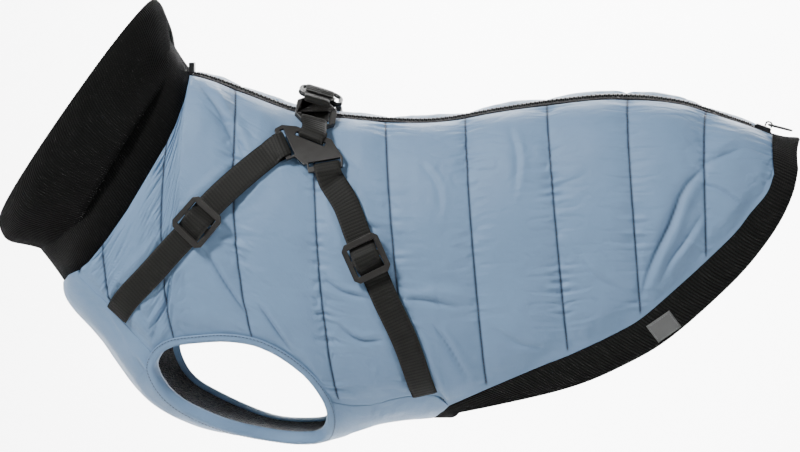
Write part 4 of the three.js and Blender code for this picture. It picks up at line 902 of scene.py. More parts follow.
# %% Harness lines that press on the filling
PRESSED = (-3, 36, 19, 11)
STRAP_ROUTES = {
    "front": [(-149.5, -144), (-139.4, -130.2), (-122.8, -113), (-102.2, -90.4), (-84.4, -71.7),
              (-76.2, -61), (-54, -40.5)],
    "rear": [(86.5, -200.5), (73.5, -159), (58, -125.5), (49.5, -106), (43.9, -95), (37.5, -80),
             (27.5, -57.5)],
}


def left_by_link(points):
    """0 under the link and 1 away from it, by the larger of the two distances from its middle."""
    x, y, half_x, half_y = PRESSED
    a = np.abs((points[..., 0] - x) / half_x)
    b = np.abs((np.abs(points[..., 1]) - y) / half_y)
    return np.clip(np.maximum(np.maximum(a, b), 1.1) - 1.1, 0, 1)


def strap_press(points):
    """How far the filling gives way: down under a strap, and up in a low roll beside it."""
    total = np.zeros(points.shape[:-1])
    for route in STRAP_ROUTES.values():
        line = curve(route, 40)
        line = body_point(*place_at(line[:, 0], line[:, 1]))
        distance = np.min(np.linalg.norm(points[..., None, :] - line, axis=-1), axis=-1)
        total += 0.8 * np.exp(-((distance - 15) / 3.2)**2) - 0.5 * np.exp(-(distance / 10)**4)
    return total


# %% Side panels
PANEL_COLUMNS, PANEL_ROWS = 420, 204


def stitch_distance(s, side):
    """For each column: distance to the nearest stitched line, its number and the filling."""
    reach = reach_of(s, side)
    lines = stitched_lines(side)
    i = np.clip(np.searchsorted(lines, reach) - 1, 0, len(lines) - 2)
    share = np.clip((reach - lines[i]) / (lines[i + 1] - lines[i]), 0, 1)
    fill = np.maximum(np.sin(math.pi * share), 0) ** 0.6
    gaps = np.abs(reach[:, None] - lines[None, :])
    return gaps.min(1), gaps.argmin(1), fill


def pinched(wave, width):
    """Narrow troughs where a wave passes through zero: minus (1 - |wave| / width), never up."""
    return -np.clip(1 - np.abs(wave) / width, 0, 1) ** 1.5


def puckers(distance, down, number, seed):
    """Short folds square to a stitched line: strong close beside it and gone 30 mm away, in
    groups with calmer stretches between them."""
    strength = np.exp(-distance / 7) * (1 - np.exp(-distance / 0.9))
    group = 0.35 + 0.9 * np.clip(0.5 + 0.9 * noise(down / 24, number * 3.3, seed + 1), 0, 1)
    slant = down + 0.25 * distance * noise(down / 40, number * 1.7, seed)
    wave = noise(slant / 3.4, number * 9.7 + distance / 16, seed)
    finer = noise(slant / 1.9, number * 5.3 + distance / 9, seed + 1)
    long_folds = pinched(noise(slant / 7, number * 4.1 + distance / 30, seed), 0.22)
    reach = np.exp(-distance / 16) * (1 - np.exp(-distance / 2))
    return group * (strength * (2.0 * wave + 0.8 * finer) + 1.3 * reach * long_folds)


def panel_height(along, angle, s, side):
    """Filling times a slow unevenness, plus puckers at lines, zip and seams, plus creases, all in
    millimetres. Also the distances down from the zip, up from the seam and to the nearest
    stitched line, and the painted shade of the creases' cores."""
    points = body_point(along, angle)
    normals = directions(along, angle)[2]
    down = lengths_along(points, 1)
    up = down[:, -1:] - down
    distance, number, fill = stitch_distance(s, side)
    seed = 0 if side == LEFT else 2
    at_zip = soft_step(-4, EDGE_RISE[side], down) ** 0.62
    at_zip = np.where(down < 0.01, 0, at_zip)
    at_seam = soft_step(3.8, 22, up) ** 0.75
    edge = at_zip * at_seam
    slow = 1 + 0.13 * noise(down / 34, s[:, None] * 2.1 + 11, seed) \
        + 0.07 * noise(down / 13, s[:, None] * 5.1 + 3, seed + 1)
    height = SHELL + PUFF * fill[:, None] * edge * left_by_link(points) * np.minimum(slow, 1.12)
    clear = soft_step(4.2, 9, up) * soft_step(0.5, 4, down)
    height += puckers(distance[:, None], down, number[:, None], seed + 4) * clear
    reach = reach_of(s, side)[:, None]
    seam_pull = np.exp(-np.maximum(up - 7, 0) / 9) * clear
    zip_pull = np.exp(-down / 8) * clear
    height += (0.75 * seam_pull + 0.5 * zip_pull) * noise(reach / 3.6, up / 26, seed + 5)
    soft = left_by_link(points) * clear
    folds, crease_shade = crease_heights(points, normals, side)
    height += (folds + strap_press(points)) * soft
    across = noise(down / 9, reach / 30, seed + 2) + 0.5 * noise(down / 21, reach / 9, seed + 3)
    patches = np.clip(0.4 + noise(down / 45, reach / 40, 6), 0, 1)
    height += 0.5 * pinched(across, 0.16) * soft * patches
    return np.clip(height, THINNEST, THICKEST), down, up, distance, crease_shade * soft


def side_panel(side):
    """A wall from the form itself up to the panel's height, with painted shade where the distance
    to a stitched line is under a millimetre and in the creases' cores."""
    word, flip = SIDES[side]
    s = even_columns(PANEL_COLUMNS, side, closer=3)
    f = np.linspace(0, 1, PANEL_ROWS)
    along, angle = panel_places(s, f, side)
    height, down, up, distance, crease_shade = panel_height(along, angle, s, side)
    outer = raised(along, angle, height) * flip
    inner = raised(along, angle, np.zeros_like(height)) * flip
    uv = cloth_map(reach_of(s, side)[:, None], down)
    thing = coarse_wall(f"quilted_{word}", outer, inner, uv, WALL_STEP)
    # painted shade along the stitched lines and in the deep creases' cores
    channel_shade = 0.95 * np.exp(-(distance[:, None] / 0.9)**2) * soft_step(2, 7, up)
    channel_shade = np.maximum(channel_shade, crease_shade * 0.8)
    inside = len(thing.data.vertices) - channel_shade.size
    paint(thing, "channel_shade", np.append(channel_shade.ravel(), np.zeros(inside)))
    return finished(thing, NYLON, stands_for=[f"side_panel_{word}"])


for side in (LEFT, RIGHT):
    panel = side_panel(side)
    print(panel.name, len(panel.data.polygons), "faces")

# %% [markdown]
# ## Stitches
# A row of stitches is one small lozenge of thread, repeated along a line on the cloth. The line
# gives each copy its place and its three directions, so the whole row is one array of points.

# %% Stitch helper
# pitch, then half the length, width and height of one stitch
STITCHES = {"quilting": (3.3, 1.35, 0.28, 0.22), "binding": (2.9, 1.15, 0.28, 0.22),
            "tape": (2.8, 1.1, 0.25, 0.2), "label": (2.0, 0.8, 0.2, 0.16)}
LOOK_AHEAD = 0.4


def lozenge(half_length, half_width, half_height, rings=5, sides=6):
    """A rounded bar: rings whose radius is the root of 1 minus the place's fourth power."""
    t = np.linspace(-1, 1, rings)[:, None]
    turn = np.linspace(0, TURN, sides, endpoint=False)[None, :]
    radius = np.sqrt(np.maximum(1 - t**4, 0.02))
    shape = np.stack([t * half_length + 0 * turn, radius * half_width * np.cos(turn),
                      radius * half_height * np.sin(turn)], -1)
    ring = np.arange(1, sides - 1)
    end = (rings - 1) * sides
    faces = np.vstack([tube_faces(rings, sides), np.stack([0 * ring, ring, ring + 1], -1),
                       np.stack([end + 0 * ring, end + ring + 1, end + ring], -1)])
    vertices = shape.reshape(-1, 3)
    return vertices, outward(vertices, faces)


def repeated(name, shape, centres, forward, upward):
    """Copies of a small shape: centre plus its x, y, z times forward, side and upward."""
    vertices, faces = shape
    forward = unit(forward)
    sideways = unit(np.cross(upward, forward))
    axes = np.stack([forward, sideways, np.cross(forward, sideways)], 1)
    points = centres[:, None, :] + np.einsum("vk,nkc->nvc", vertices, axes)
    steps = np.arange(len(centres))[:, None, None] * len(vertices)
    return make_object(name, points.reshape(-1, 3), (faces[None] + steps).reshape(-1, 3))


def stitch_row(lines, normals, pitch):
    """Middles, directions and normals of stitches along lines of points, every pitch."""
    centres, forward, upward = [], [], []
    for line, normal in zip(lines, normals):
        run = run_length(line)
        at = np.arange(pitch, run[-1] - pitch / 2, pitch)
        spot = read_along(line, run, at)
        centres.append(spot)
        forward.append(read_along(line, run, at + LOOK_AHEAD) - spot)
        upward.append(read_along(normal, run, at))
    return [np.vstack(v) for v in (centres, forward, upward)]


def stitches(name, kind, lines, normals):
    """A named row of one kind of stitch along lines of points."""
    pitch, *half_sizes = STITCHES[kind]
    return repeated(name, lozenge(*half_sizes), *stitch_row(lines, normals, pitch))


# %% Quilting stitches
# where a stitched line's thread starts and ends, as shares of its column
THREAD_START, THREAD_END = 0.012, 0.985


def quilting(side):
    """Stitches down each line, just above the panel's height."""
    word, flip = SIDES[side]
    stitched = NUMBERS[(STATIONS[:, 4] == 1) & (NUMBERS > 0) & (NUMBERS < 14)].astype(float)
    f = np.linspace(THREAD_START, THREAD_END, 160)
    along, angle = panel_places(stitched, f, side)
    height = panel_height(along, angle, stitched, side)[0]
    points = raised(along, angle, height + 0.12) * flip
    normals = directions(along, angle)[2] * flip
    row = stitches(f"quilting_{word}", "quilting", points, normals)
    return finished(row, QUILT_THREAD)


for side in (LEFT, RIGHT):
    print(quilting(side).name)

# %% [markdown]
# ## Fleece
# The lining is a plain soft layer under each quilted panel. It shows through the neck and the leg
# holes only, so its grid is coarse and its pile is in the finish.

# %% Linings
LINING_TOP, LINING_DEPTH = -1.3, 1.5
LINING_COLUMNS, LINING_ROWS = 112, 52
LUMP_SIZE, LUMP_HEIGHT = 9, 0.35


def side_lining(side):
    """A wall at even depths below the form, its underside lumpy by a soft noise."""
    word, flip = SIDES[side]
    s = even_columns(LINING_COLUMNS, side)
    along, angle = panel_places(s, np.linspace(0, 1, LINING_ROWS), side)
    points = body_point(along, angle)
    lumps = LUMP_HEIGHT * noise(points[..., 0] / LUMP_SIZE, points[..., 2] / LUMP_SIZE, 3)
    outer = raised(along, angle, np.full(along.shape, LINING_TOP)) * flip
    inner = raised(along, angle, LINING_TOP - LINING_DEPTH - 0.2 + lumps) * flip
    thing = wall_object(f"fleece_{word}", outer, inner, points[..., [0, 2]] * MM)
    return finished(thing, FLEECE, stands_for=[f"side_lining_{word}"])


for side in (LEFT, RIGHT):
    print(side_lining(side).name)

# %% [markdown]
# ## Chest panel
# Below the chest seam one plain panel runs between the front legs to the belly. Each of its lines
# goes from the left border over the middle to the right border.

# %% Chest panel
# place on the side seam, place of the middle line
CHEST_MIDDLE = np.array([(0.9, 0.05), (1.6, 0.8), (2.4, 1.8), (2.9, 2.45), (3.4, 3.1),
                         (4.9, 4.85), (6.3, 6.4), (7.2, 7.05), (8.1, 7.75)])
THROAT_ANGLE = 131
SEAM_GAP = 0.4
CHEST_HALF, CHEST_COLUMNS = 70, 131
CHEST_THINNEST, CHEST_THICKEST = 1.2, 4.5
# places across the panel, from the left border over the middle to the right one
CHEST_ACROSS = np.linspace(-1, 1, CHEST_COLUMNS)


def solid_columns():
    """Station numbers of the solid's own columns, which set the chest panel's border."""
    return np.concatenate([n + np.arange(int(row[3])) / row[3]
                           for n, row in zip(NUMBERS, STATIONS)])


def chest_border(spacing=2.0):
    """Left border from the throat to the belly seam: place, and an order that always grows."""
    s = solid_columns()
    s = s[s <= BELLY_STATION + 1e-6]
    low_x = np.interp(s, NUMBERS, STATIONS[:, 2])
    along, angle = column_ends(s, LEFT)[1]
    chest = low_x < raw_points[front_meet, 0] - 2
    belly = low_x > raw_points[rear_meet, 0] + 2
    throat = neck_place(THROAT_ANGLE)
    rows = np.vstack([[throat], np.stack([along, angle], -1)[chest],
                      np.stack([raw_along, raw_angle], -1)[lower_arc],
                      np.stack([along, angle], -1)[belly]])
    order = []
    for value in rows[:, 0]:
        order.append(max(order[-1] + 0.05 if order else 0.05, value))
    run = run_length(body_point(rows[:, 0], rows[:, 1]))
    at = np.linspace(0, run[-1], int(run[-1] / spacing))
    fine = [np.interp(at, run, column) for column in (rows[:, 0], rows[:, 1], order)]
    return (*fine, np.clip(at / run[1], 0, 1))


def chest_places(across):
    """The middle's place plus the border's lead over it times the square of the way back, and
    the angle mixed from the border's to pi; the first line follows the neck seam."""
    along, angle, order, away = chest_border()
    f = 1 - np.abs(across)[None, :]
    middle = np.interp(order, *CHEST_MIDDLE.T)[:, None]
    gap = SEAM_GAP / np.linalg.norm(directions(along, angle)[1], axis=-1)
    angles = angle[:, None] + (math.pi - angle[:, None]) * f + gap[:, None] * (1 - f)**6
    alongs = middle + (along[:, None] - middle) * (1 - f)**2
    neck = neck_place(np.degrees(angles))[0]
    alongs = neck + (alongs - neck) * away[:, None]
    return alongs, angles


def chest_wall(name, across, top, bottom):
    """A wall between two heights over the form; past the middle its points are mirrored."""
    along, angle = chest_places(across)
    mirror = np.where(across[:, None] < 0, SIDES[LEFT][1], SIDES[RIGHT][1])
    outer, inner = (raised(along, angle, height) * mirror for height in (top, bottom))
    uv = cloth_map(lengths_along(outer, 0)[:, -1:], lengths_along(outer, 1))
    return coarse_wall(name, outer, inner, uv, WALL_STEP)


def chest_rise(across):
    """Height of the shell over the form: a low dome, ripples and drag lines from the side seams, a
    slow unevenness and creases. Also the painted shade for the cores of the creases."""
    along, angle = chest_places(across)
    base = body_point(along, angle)
    seamward = 1 - np.abs(across)[None, :]
    from_edge = seamward * CHEST_HALF
    inside = soft_step(4, 8, from_edge)
    pull = np.exp(-np.maximum(from_edge - 5, 0) / 8) * inside
    line = np.arange(len(base))[:, None]
    ripples = noise(line / 2.2, across[None, :] * 3 + 5, 6)
    drag = pinched(noise(line / 5, across[None, :] * 1.6 + 9, 3), 0.25) * np.exp(-from_edge / 22)
    slow = noise(base[..., 0] / 16, across[None, :] * 5, 2)
    folds, crease_shade = crease_heights(base, directions(along, angle)[2], LEFT)
    clear = soft_step(4, 9, from_edge)
    rise = SHELL + 0.5 * np.sin(seamward * math.pi / 2) + pull * ripples + 0.9 * drag * inside
    rise = rise + 0.7 * slow * soft_step(5, 25, from_edge) + folds * clear
    return np.clip(rise, CHEST_THINNEST, CHEST_THICKEST), crease_shade * clear


def chest_panel():
    """The shell from the form up to the chest's rise, with painted shade in the crease cores."""
    rise, crease_core_shade = chest_rise(CHEST_ACROSS)
    thing = chest_wall("chest_cloth", CHEST_ACROSS, rise, 0 * rise)
    kept = np.ix_(*(sparse(count, WALL_STEP) for count in crease_core_shade.shape))
    # painted shade in the crease cores
    paint(thing, "channel_shade", np.concatenate([crease_core_shade.ravel(), crease_core_shade[kept].ravel()]))
    return finished(thing, NYLON, stands_for=["chest_panel"])


def chest_lining():
    """A wall at even depths below the form."""
    top = np.full((len(chest_border()[0]), CHEST_COLUMNS), LINING_TOP)
    thing = chest_wall("chest_fleece", CHEST_ACROSS, top, top - LINING_DEPTH)
    return finished(thing, FLEECE, stands_for=["chest_lining"])


print(chest_panel().name, chest_lining().name, len(chest_border()[0]), "lines")

# %% [markdown]
# ## Leg bindings
# A bias strip is folded round the raw edge of each leg hole and stitched through. Its section is
# a thin U, carried round the hole.

# %% Leg bindings
# distance in from the outer edge, height over the form
BINDING = np.array([(0, 2.6), (0, 3.2), (0.35, 3.6), (1.2, 3.55), (2.8, 3.85), (4.6, 3.8),
                    (5.9, 3.3), (6.6, 2.2), (6.75, 0), (6.75, -2.6), (6.5, -4.6), (5.8, -5.7),
                    (4.4, -6), (2.4, -6), (0.4, -6), (0, -5.6), (0, -4.9), (2.4, -4.9),
                    (4.4, -4.9), (5.4, -4.4), (5.8, -2.6), (5.8, 0), (5.6, 1.9), (4.6, 2.5),
                    (2.4, 2.55)])
BINDING_STEPS = 300
BINDING_SEWN = (1.2, 3.55)


def leg_binding(side):
    """The section's rows, each stepped in from the hole's edge over the cloth and raised by
    its height, make a closed tube. The result is its length in metres."""
    word, flip = SIDES[side]
    # the hole's line again, read finely between its 36 places
    line = curve(hole_points[:, [0, 2]], BINDING_STEPS, closed=True)
    along, angle, away, points = round_hole(line)
    run = np.append(run_length(points), 0)[:-1]
    rings, stitch_line = [], None
    for inward, height in BINDING:
        a, b = step_over(along, angle, -away * inward)
        pull = 0.22 * noise(run / 2.4, run * 0 + 4 + inward / 5, 7) * (1 if height > 2 else 0)
        rings.append(raised(a, b, height + pull) * flip)
        if (inward, height) == BINDING_SEWN:
            stitch_line = raised(a, b, height + 0.1) * flip
            stitch_normal = directions(a, b)[2] * flip
    rings = np.stack(rings, 1)
    section = run_length(BINDING)
    uv = cloth_map(run[:, None], section[None, :])
    thing = closed_tube(f"binding_{word}", rings, uv)
    from_sewn = np.tile(BINDING[:, 0], len(rings)) - BINDING_SEWN[0]
    # painted shade along the binding's sewn line
    paint(thing, "channel_shade", 0.25 * np.exp(-(from_sewn / 0.6)**2))
    around = run[-1] * MM
    finished(thing, NYLON, stands_for=[f"leg_binding_{word}"])
    row = stitches(f"binding_stitches_{word}", "binding", [stitch_line], [stitch_normal])
    finished(row, QUILT_THREAD)
    return around


for side in (LEFT, RIGHT):
    print("binding length", round(leg_binding(side), 3), "m")

# %% [markdown]
# ## Rib collar
# One tube of fine rib knit stands up from the neck seam and is folded down outside. Its sections
# are ovals given by nape, throat and width; a cubic runs through them, and 250 ribs stand out
# from it as half waves, each with its own knit loops in the finish.

# %% Collar
# nape x, nape z, throat x, throat z, half width; the fourth row is the fold
COLLAR = np.array([(-114, 54, -209, -117, 57), (-122.5, 69, -222, -100, 58),
                   (-128.5, 86, -239, -84, 60), (-130.5, 93.5, -250, -76, 62),
                   (-125.5, 88, -252.5, -84, 65), (-120, 74, -246, -95.5, 66),
                   (-116, 56, -224, -100, 65.5), (-109, 43, -199, -106, 64)])
COLLAR_POWER = 2.15
RIBS_ROUND, SAMPLES = 250, 4
RIB_WALL, NECK_GAP, NECK_RISE = 2.2, 0.8, -0.8
RIB_DEPTH = 0.34
# the row of points whose length is the tube's length round
ROUND_ROW = 30


def collar_sections(angle):
    """The neck edge and the eight ovals, as an array of section, angle and point."""
    cosine, sine = oval(angle, COLLAR_POWER)
    down = (1 - cosine) / 2
    rows = COLLAR[:, None, :]
    ovals = np.stack([rows[..., 0] + (rows[..., 2] - rows[..., 0]) * down,
                      -rows[..., 4] * sine + 0 * down,
                      rows[..., 1] + (rows[..., 3] - rows[..., 1]) * down], -1)
    folded = np.minimum(angle, TURN - angle)
    place = neck_place(np.degrees(folded))
    point, (_, around, normal) = body_point(*place), directions(*place)
    after = body_point(*neck_place(np.degrees(np.minimum(folded + 0.03, math.pi)))) - point
    seamward = np.where((folded > 3.1)[:, None], around, after)
    edge = point + unit(np.cross(seamward, normal)) * NECK_GAP \
        + normal * (NECK_RISE + RIB_WALL / 2)
    edge[:, 1] *= np.where(angle <= math.pi, 1, -1)
    return np.concatenate([edge[None], ovals])


def even_angles(count):
    """Angles round the collar at even distances along its oval."""
    fine = np.linspace(0, TURN, 2001)
    ring = collar_sections(fine)[6]
    run = run_length(ring)
    return np.interp(np.linspace(0, run[-1], count, endpoint=False), run, fine)


def folded_collar():
    """The wall between a middle surface plus and minus half its thickness along the normal. Its
    outside has ribs, the absolute sine round the neck. Also its cut: round and tall, in metres."""
    count = RIBS_ROUND * SAMPLES
    angle = even_angles(count)
    t = np.concatenate([np.linspace(0, 3.3, 6), np.linspace(3.4, 4.7, 15),
                        np.linspace(4.9, 8, 16)])
    sections = collar_sections(angle)
    middle = smooth(sections.reshape(len(sections), -1), t).reshape(len(t), count, 3)
    # soft folds of the outer layer, held at both ends
    sway = soft_step(4.3, 5.6, t)[:, None]
    folds = 1.5 * noise(angle[None, :] * 3.1 + 5, t[:, None] * 0.9, 1)
    folds = folds + 0.9 * noise(angle[None, :] * 7, t[:, None] * 1.4, 2)
    ahead = np.gradient(middle, axis=0)
    around = np.roll(middle, -1, 1) - np.roll(middle, 1, 1)
    normal = unit(np.cross(ahead, around))
    if (normal[6] * (middle[6] - middle[6].mean(0))).sum() > 0:
        normal = -normal
    middle = middle + normal * (folds * sway * 0.55)[..., None]
    wave = np.abs(np.sin(np.arange(count) * math.pi / SAMPLES + 0.4))[None, :]
    rib = RIB_DEPTH * (wave - 0.5) * (1 - 0.5 * np.exp(-t[:, None] / 0.3))
    half = RIB_WALL / 2
    outer = middle + normal * (half - RIB_DEPTH / 2 + rib)[..., None]
    inner = middle - normal * (half - 0.2)
    lengths = lengths_along(middle, 0)
    rib_uv = (np.arange(count) / SAMPLES * RIB_SPACING)[None, :] + 0 * lengths
    uv = np.stack([rib_uv, lengths * MM], -1)
    thing = wall_object("collar_knit", outer.transpose(1, 0, 2), inner.transpose(1, 0, 2),
                        uv.transpose(1, 0, 2), around=True)
    cut = float(run_length(middle[ROUND_ROW])[-1]) * MM, float(lengths[-1].mean()) * MM
    finished(thing, COLLAR_KNIT, stands_for=["collar"])
    return cut


print("collar tube", [round(v, 3) for v in folded_collar()], "m")

# %% [markdown]
# ## Hem band
# Rib knit, folded double and sewn to the edge from one side of the zip, under the belly, to the
# other. Its ribs run across it.

# %% Hem band
HEM_GAP = 3
BAND_WALL, BAND_RISE = 3.2, -1.4
HEM_RIB, HEM_SAMPLES = 2.5, 5
HEM_RIB_DEPTH, HEM_WAVINESS = 0.42, 0.7
END_CURL, CURL_REACH = 5, 16
# places across the band from the seam to the free edge, and its thickness there as a share
HEM_ACROSS = np.array([0.0, 0.04, 0.15, 0.35, 0.6, 0.82, 0.92, 0.97, 1.0])
HEM_THICK = np.interp(HEM_ACROSS, [0, 0.04, 0.15, 0.82, 0.92, 0.97, 1],
                      [0.75, 0.95, 1, 1.02, 0.9, 0.62, 0.2])


def hem_lines(side):
    """Places of the seam edge and of the free edge on one half, from the belly to the zip."""
    along, angle = chest_places(np.linspace(0, -1, 30))
    s = even_columns(260, side, start=BELLY_STATION)
    top, low = column_ends(s, side)
    up = np.linspace(1, 0, 24)[1:]
    seam = [np.concatenate([along[-1][:-1], low[0],
                            top[0][-1] + (low[0][-1] - top[0][-1]) * up,
                            [back_place(348.5, HEM_GAP, side)[0]]]),
            np.concatenate([angle[-1][:-1], low[1],
                            top[1][-1] + (low[1][-1] - top[1][-1]) * up,
                            [back_place(348.5, HEM_GAP, side)[1]]])]
    line = curve(HEM_EDGE, 80)
    edge = place_at(line[:, 0], line[:, 1])
    end = back_place(368, HEM_GAP, side)
    free = [np.concatenate([[8.05, 8.08], edge[0], [end[0]]]),
            np.concatenate([[math.pi, math.radians(165)], edge[1], [end[1]]])]
    return seam, free


def even_places(places, count):
    """Places again at even distances along their line, and its length."""
    points = body_point(*places)
    run = run_length(points)
    at = np.linspace(0, run[-1], count)
    return [np.interp(at, run, column) for column in places], run[-1]


def hem_half(side):
    """Outer and inner points, their cloth map and the length of one half. Each line across
    is a mix of its seam place and its free place; the ribs are the absolute sine along."""
    seam, free = hem_lines(side)
    length = even_places(seam, 10)[1]
    count = int(length / HEM_RIB) * HEM_SAMPLES
    seam, free = even_places(seam, count)[0], even_places(free, count)[0]
    width = np.linalg.norm(body_point(*seam) - body_point(*free), axis=1)
    f = HEM_ACROSS
    start = SEAM_GAP / width
    share = start[:, None] + (1 - start)[:, None] * f[None, :]
    along, angle = (a[:, None] + (b - a)[:, None] * share for a, b in zip(seam, free))
    step = np.arange(count)[:, None]
    wave = np.abs(np.sin(step * math.pi / HEM_SAMPLES))
    rib = HEM_RIB_DEPTH * (wave - 0.5) * HEM_THICK[None, :]
    slow = HEM_WAVINESS * noise(step / 60, f[None, :] * 1.2, 4) * np.sin(math.pi * f * 0.8)
    middle = BAND_RISE + BAND_WALL / 2 + slow
    half = BAND_WALL / 2 * HEM_THICK[None, :]
    flip = SIDES[side][1]
    # the free corner beside the zip curls up a little
    from_zip = np.linspace(length, 0, count)[:, None]
    middle = middle + END_CURL * np.exp(-(from_zip / CURL_REACH)**2) * f[None, :]**2
    outer = raised(along, angle, middle + half + rib - 0.15) * flip
    inner = raised(along, angle, middle - half - rib * 0.6 + 0.15) * flip
    uv = cloth_map(side * step / HEM_SAMPLES * HEM_RIB, share * width[:, None])
    return outer, inner, uv, length


halves = [hem_half(side) for side in (RIGHT, LEFT)]
band = [np.concatenate([halves[0][k][1:][::-1], halves[1][k]]) for k in range(3)]
hem = wall_object("hem_knit", *band)
finished(hem, HEM_KNIT, stands_for=["hem_band"])

# %% [markdown]
# ## Zip
# Two woven tapes with moulded teeth that mesh over the middle. Each tooth is the same rounded
# bar, and every second one comes from the other side.

# %% Zip
ZIP_START, ZIP_END, TAPE_END = -99, 333, 347.4
ZIP_LIFT = 1.3
# places across half a tape from the teeth to the panel's edge, its thickness, its seam and its cut
TAPE_ACROSS = np.array([0.5, 1.5, 3, 4.6, 6.2, 7.6])
TAPE_THICK, TAPE_SEAM, TAPE_CUT = 0.95, 6.4, 0.01
# half a tooth's length, width and height, its distance from the middle and its middle's height
TOOTH_PITCH, TOOTH, TOOTH_ASIDE, TOOTH_RISE = 3.3, (2.2, 0.95, 1.35), 1.0, 1.3


def zip_tape(side):
    """A flat wall beside the zip's middle line; the result is its length in metres."""
    word = SIDES[side][0]
    x = np.linspace(ZIP_START, TAPE_END, 300)[:, None]
    width = TAPE_ACROSS[None, :] * side
    place = back_place(x, width)
    bow = 0.35 * noise(x / 12, width, 3)
    top = raised(*place, ZIP_LIFT + TAPE_THICK + bow * (np.abs(width) > 3))
    bottom = raised(*place, ZIP_LIFT + 0 * width + 0 * x)
    thing = wall_object(f"tape_{word}", top, bottom, cloth_map(x, width))
    length = float(run_length(top[:, 2])[-1]) * MM
    finished(thing, TAPE_CLOTH, stands_for=[f"zip_tape_{word}"])
    sewn = x[x > ZIP_START + 2]
    edge = back_place(sewn, TAPE_SEAM * side)
    line = raised(*edge, ZIP_LIFT + TAPE_THICK + 0.15 + 0 * sewn)
    row = stitches(f"tape_stitches_{word}", "tape", [line], [directions(*edge)[2]])
    finished(row, BLACK_THREAD)
    return length


def zip_teeth():
    """Bars square to the zip's middle line, every second one on the other side of it."""
    x = np.arange(ZIP_START + 1, ZIP_END - 0.5, TOOTH_PITCH / 2)
    place = back_place(x, np.where(np.arange(len(x)) % 2 == 0, TOOTH_ASIDE, -TOOTH_ASIDE))
    ahead, behind = (body_point(*back_place(x + step, 0)) for step in (0.5, -0.5))
    up = directions(*place)[2]
    teeth = repeated("teeth", lozenge(*TOOTH, sides=8),
                     raised(*place, 0 * x + ZIP_LIFT + TOOTH_RISE),
                     np.cross(unit(ahead - behind), up), up)
    finished(teeth, TEETH_PLASTIC, stands_for=["zip_teeth"])
    return len(x)


print("tapes", [round(zip_tape(side), 3) for side in (LEFT, RIGHT)], "m,", zip_teeth(), "teeth")

# %% [markdown]
# ## Webbing
# A strap is a flat band carried along a route on the coat. A second table gives its height over
# the form: up over the adjuster's middle bar, through the plate's slot and back under itself.

# %% Straps
WEBBING, WEBBING_THICK = 20, 1.4
# places across a band from edge to edge, and its thickness there as a share
ACROSS_WEBBING = np.linspace(-1, 1, 11)
WEBBING_EDGE = np.sqrt(1 - np.abs(ACROSS_WEBBING)**14)
PLASTIC = 2.6
FULL_PUFF = SHELL + PUFF + 0.5
PLATE_BOTTOM = FULL_PUFF + 2.8
ADJUSTER_BOTTOM = FULL_PUFF + 3.6
SLOT, BAR = 3.6, 3.8
PLATE_AT = (-1, -12.7)
# middle of the slot's inner side on the plate, direction in degrees
ARMS = {"top": ((-2, -6.5), 70), "front": ((-17.9, -7.2), 212), "rear": ((10.8, -21.2), 280)}
ADJUSTERS = {"front": (-84.4, -71.7), "rear": (44.2, -96)}
REAR_SKEW = 1.4


class SurfaceMap:
    """A flat sheet laid on the form: `across` runs towards the tail and `up` to the back."""

    def __init__(self, x, z, lean):
        self.centre = place_at(x, z)
        normal = directions(*self.centre)[2]
        level = np.array([math.cos(lean), 0, -math.sin(lean)])
        self.across = unit(level - normal * (level @ normal))
        self.up = unit(np.cross(normal, self.across))
        self.up *= 1 if self.up[2] > 0 else -1

    def place(self, a, b):
        a, b = np.broadcast_arrays(np.asarray(a, float), np.asarray(b, float))
        move = a[..., None] * self.across + b[..., None] * self.up
        start = [np.broadcast_to(value, a.shape) for value in self.centre]
        return step_over(*start, move)

    def at(self, a, b, height):
        return raised(*self.place(a, b), np.asarray(height, float))


PLATE_MAP = SurfaceMap(*PLATE_AT, 0)


def arm_point(arm, out, side):
    """A point of a plate's arm: a distance outward from its slot's inner side, and sideways."""
    (a, b), degrees = ARMS[arm]
    c, s = math.cos(math.radians(degrees)), math.sin(math.radians(degrees))
    return a + c * out - s * side, b + s * out + c * side


def strap_line(name):
    """The strap's middle line on the form, in 400 steps, through its route and its slot."""
    route = np.array(STRAP_ROUTES[name], float)
    points = list(body_point(*place_at(route[:, 0], route[:, 1])))
    skew = REAR_SKEW if name == "rear" else 0
    points += [PLATE_MAP.at(*arm_point(name, out, skew * aside), 0)
               for out, aside in ((SLOT + BAR + 6, 2), (SLOT + BAR, 1.2), (SLOT, 1), (0, 1))]
    return curve(points, 400)


def strap_heights(length, adjuster_at):
    """Distance along and height of the strap's underside, from its sewn end to its hidden end."""
    over, low, doubled = ADJUSTER_BOTTOM + PLASTIC + 0.8, FULL_PUFF, FULL_PUFF + 1.8
    bar, top = length - SLOT, PLATE_BOTTOM + PLASTIC
    at = adjuster_at
    return np.array([(0, SHELL + 2.5), (9, low - 0.4), (20, low), (at - 18, low),
                     (at - 9.2, doubled), (at - 3.6, over), (at + 3.6, over), (at + 9.2, doubled),
                     (bar - BAR - 10, doubled), (bar - BAR - 1.5, top + 0.4), (bar, top + 0.4),
                     (bar + 1.2, top - 0.6), (bar + 1.6, PLATE_BOTTOM + 0.3),
                     (bar + 1.2, PLATE_BOTTOM - 1.4), (bar, low), (bar - BAR - 1.5, low),
                     (bar - BAR - 12, low), (at + 14, low), (at + 4, low)])


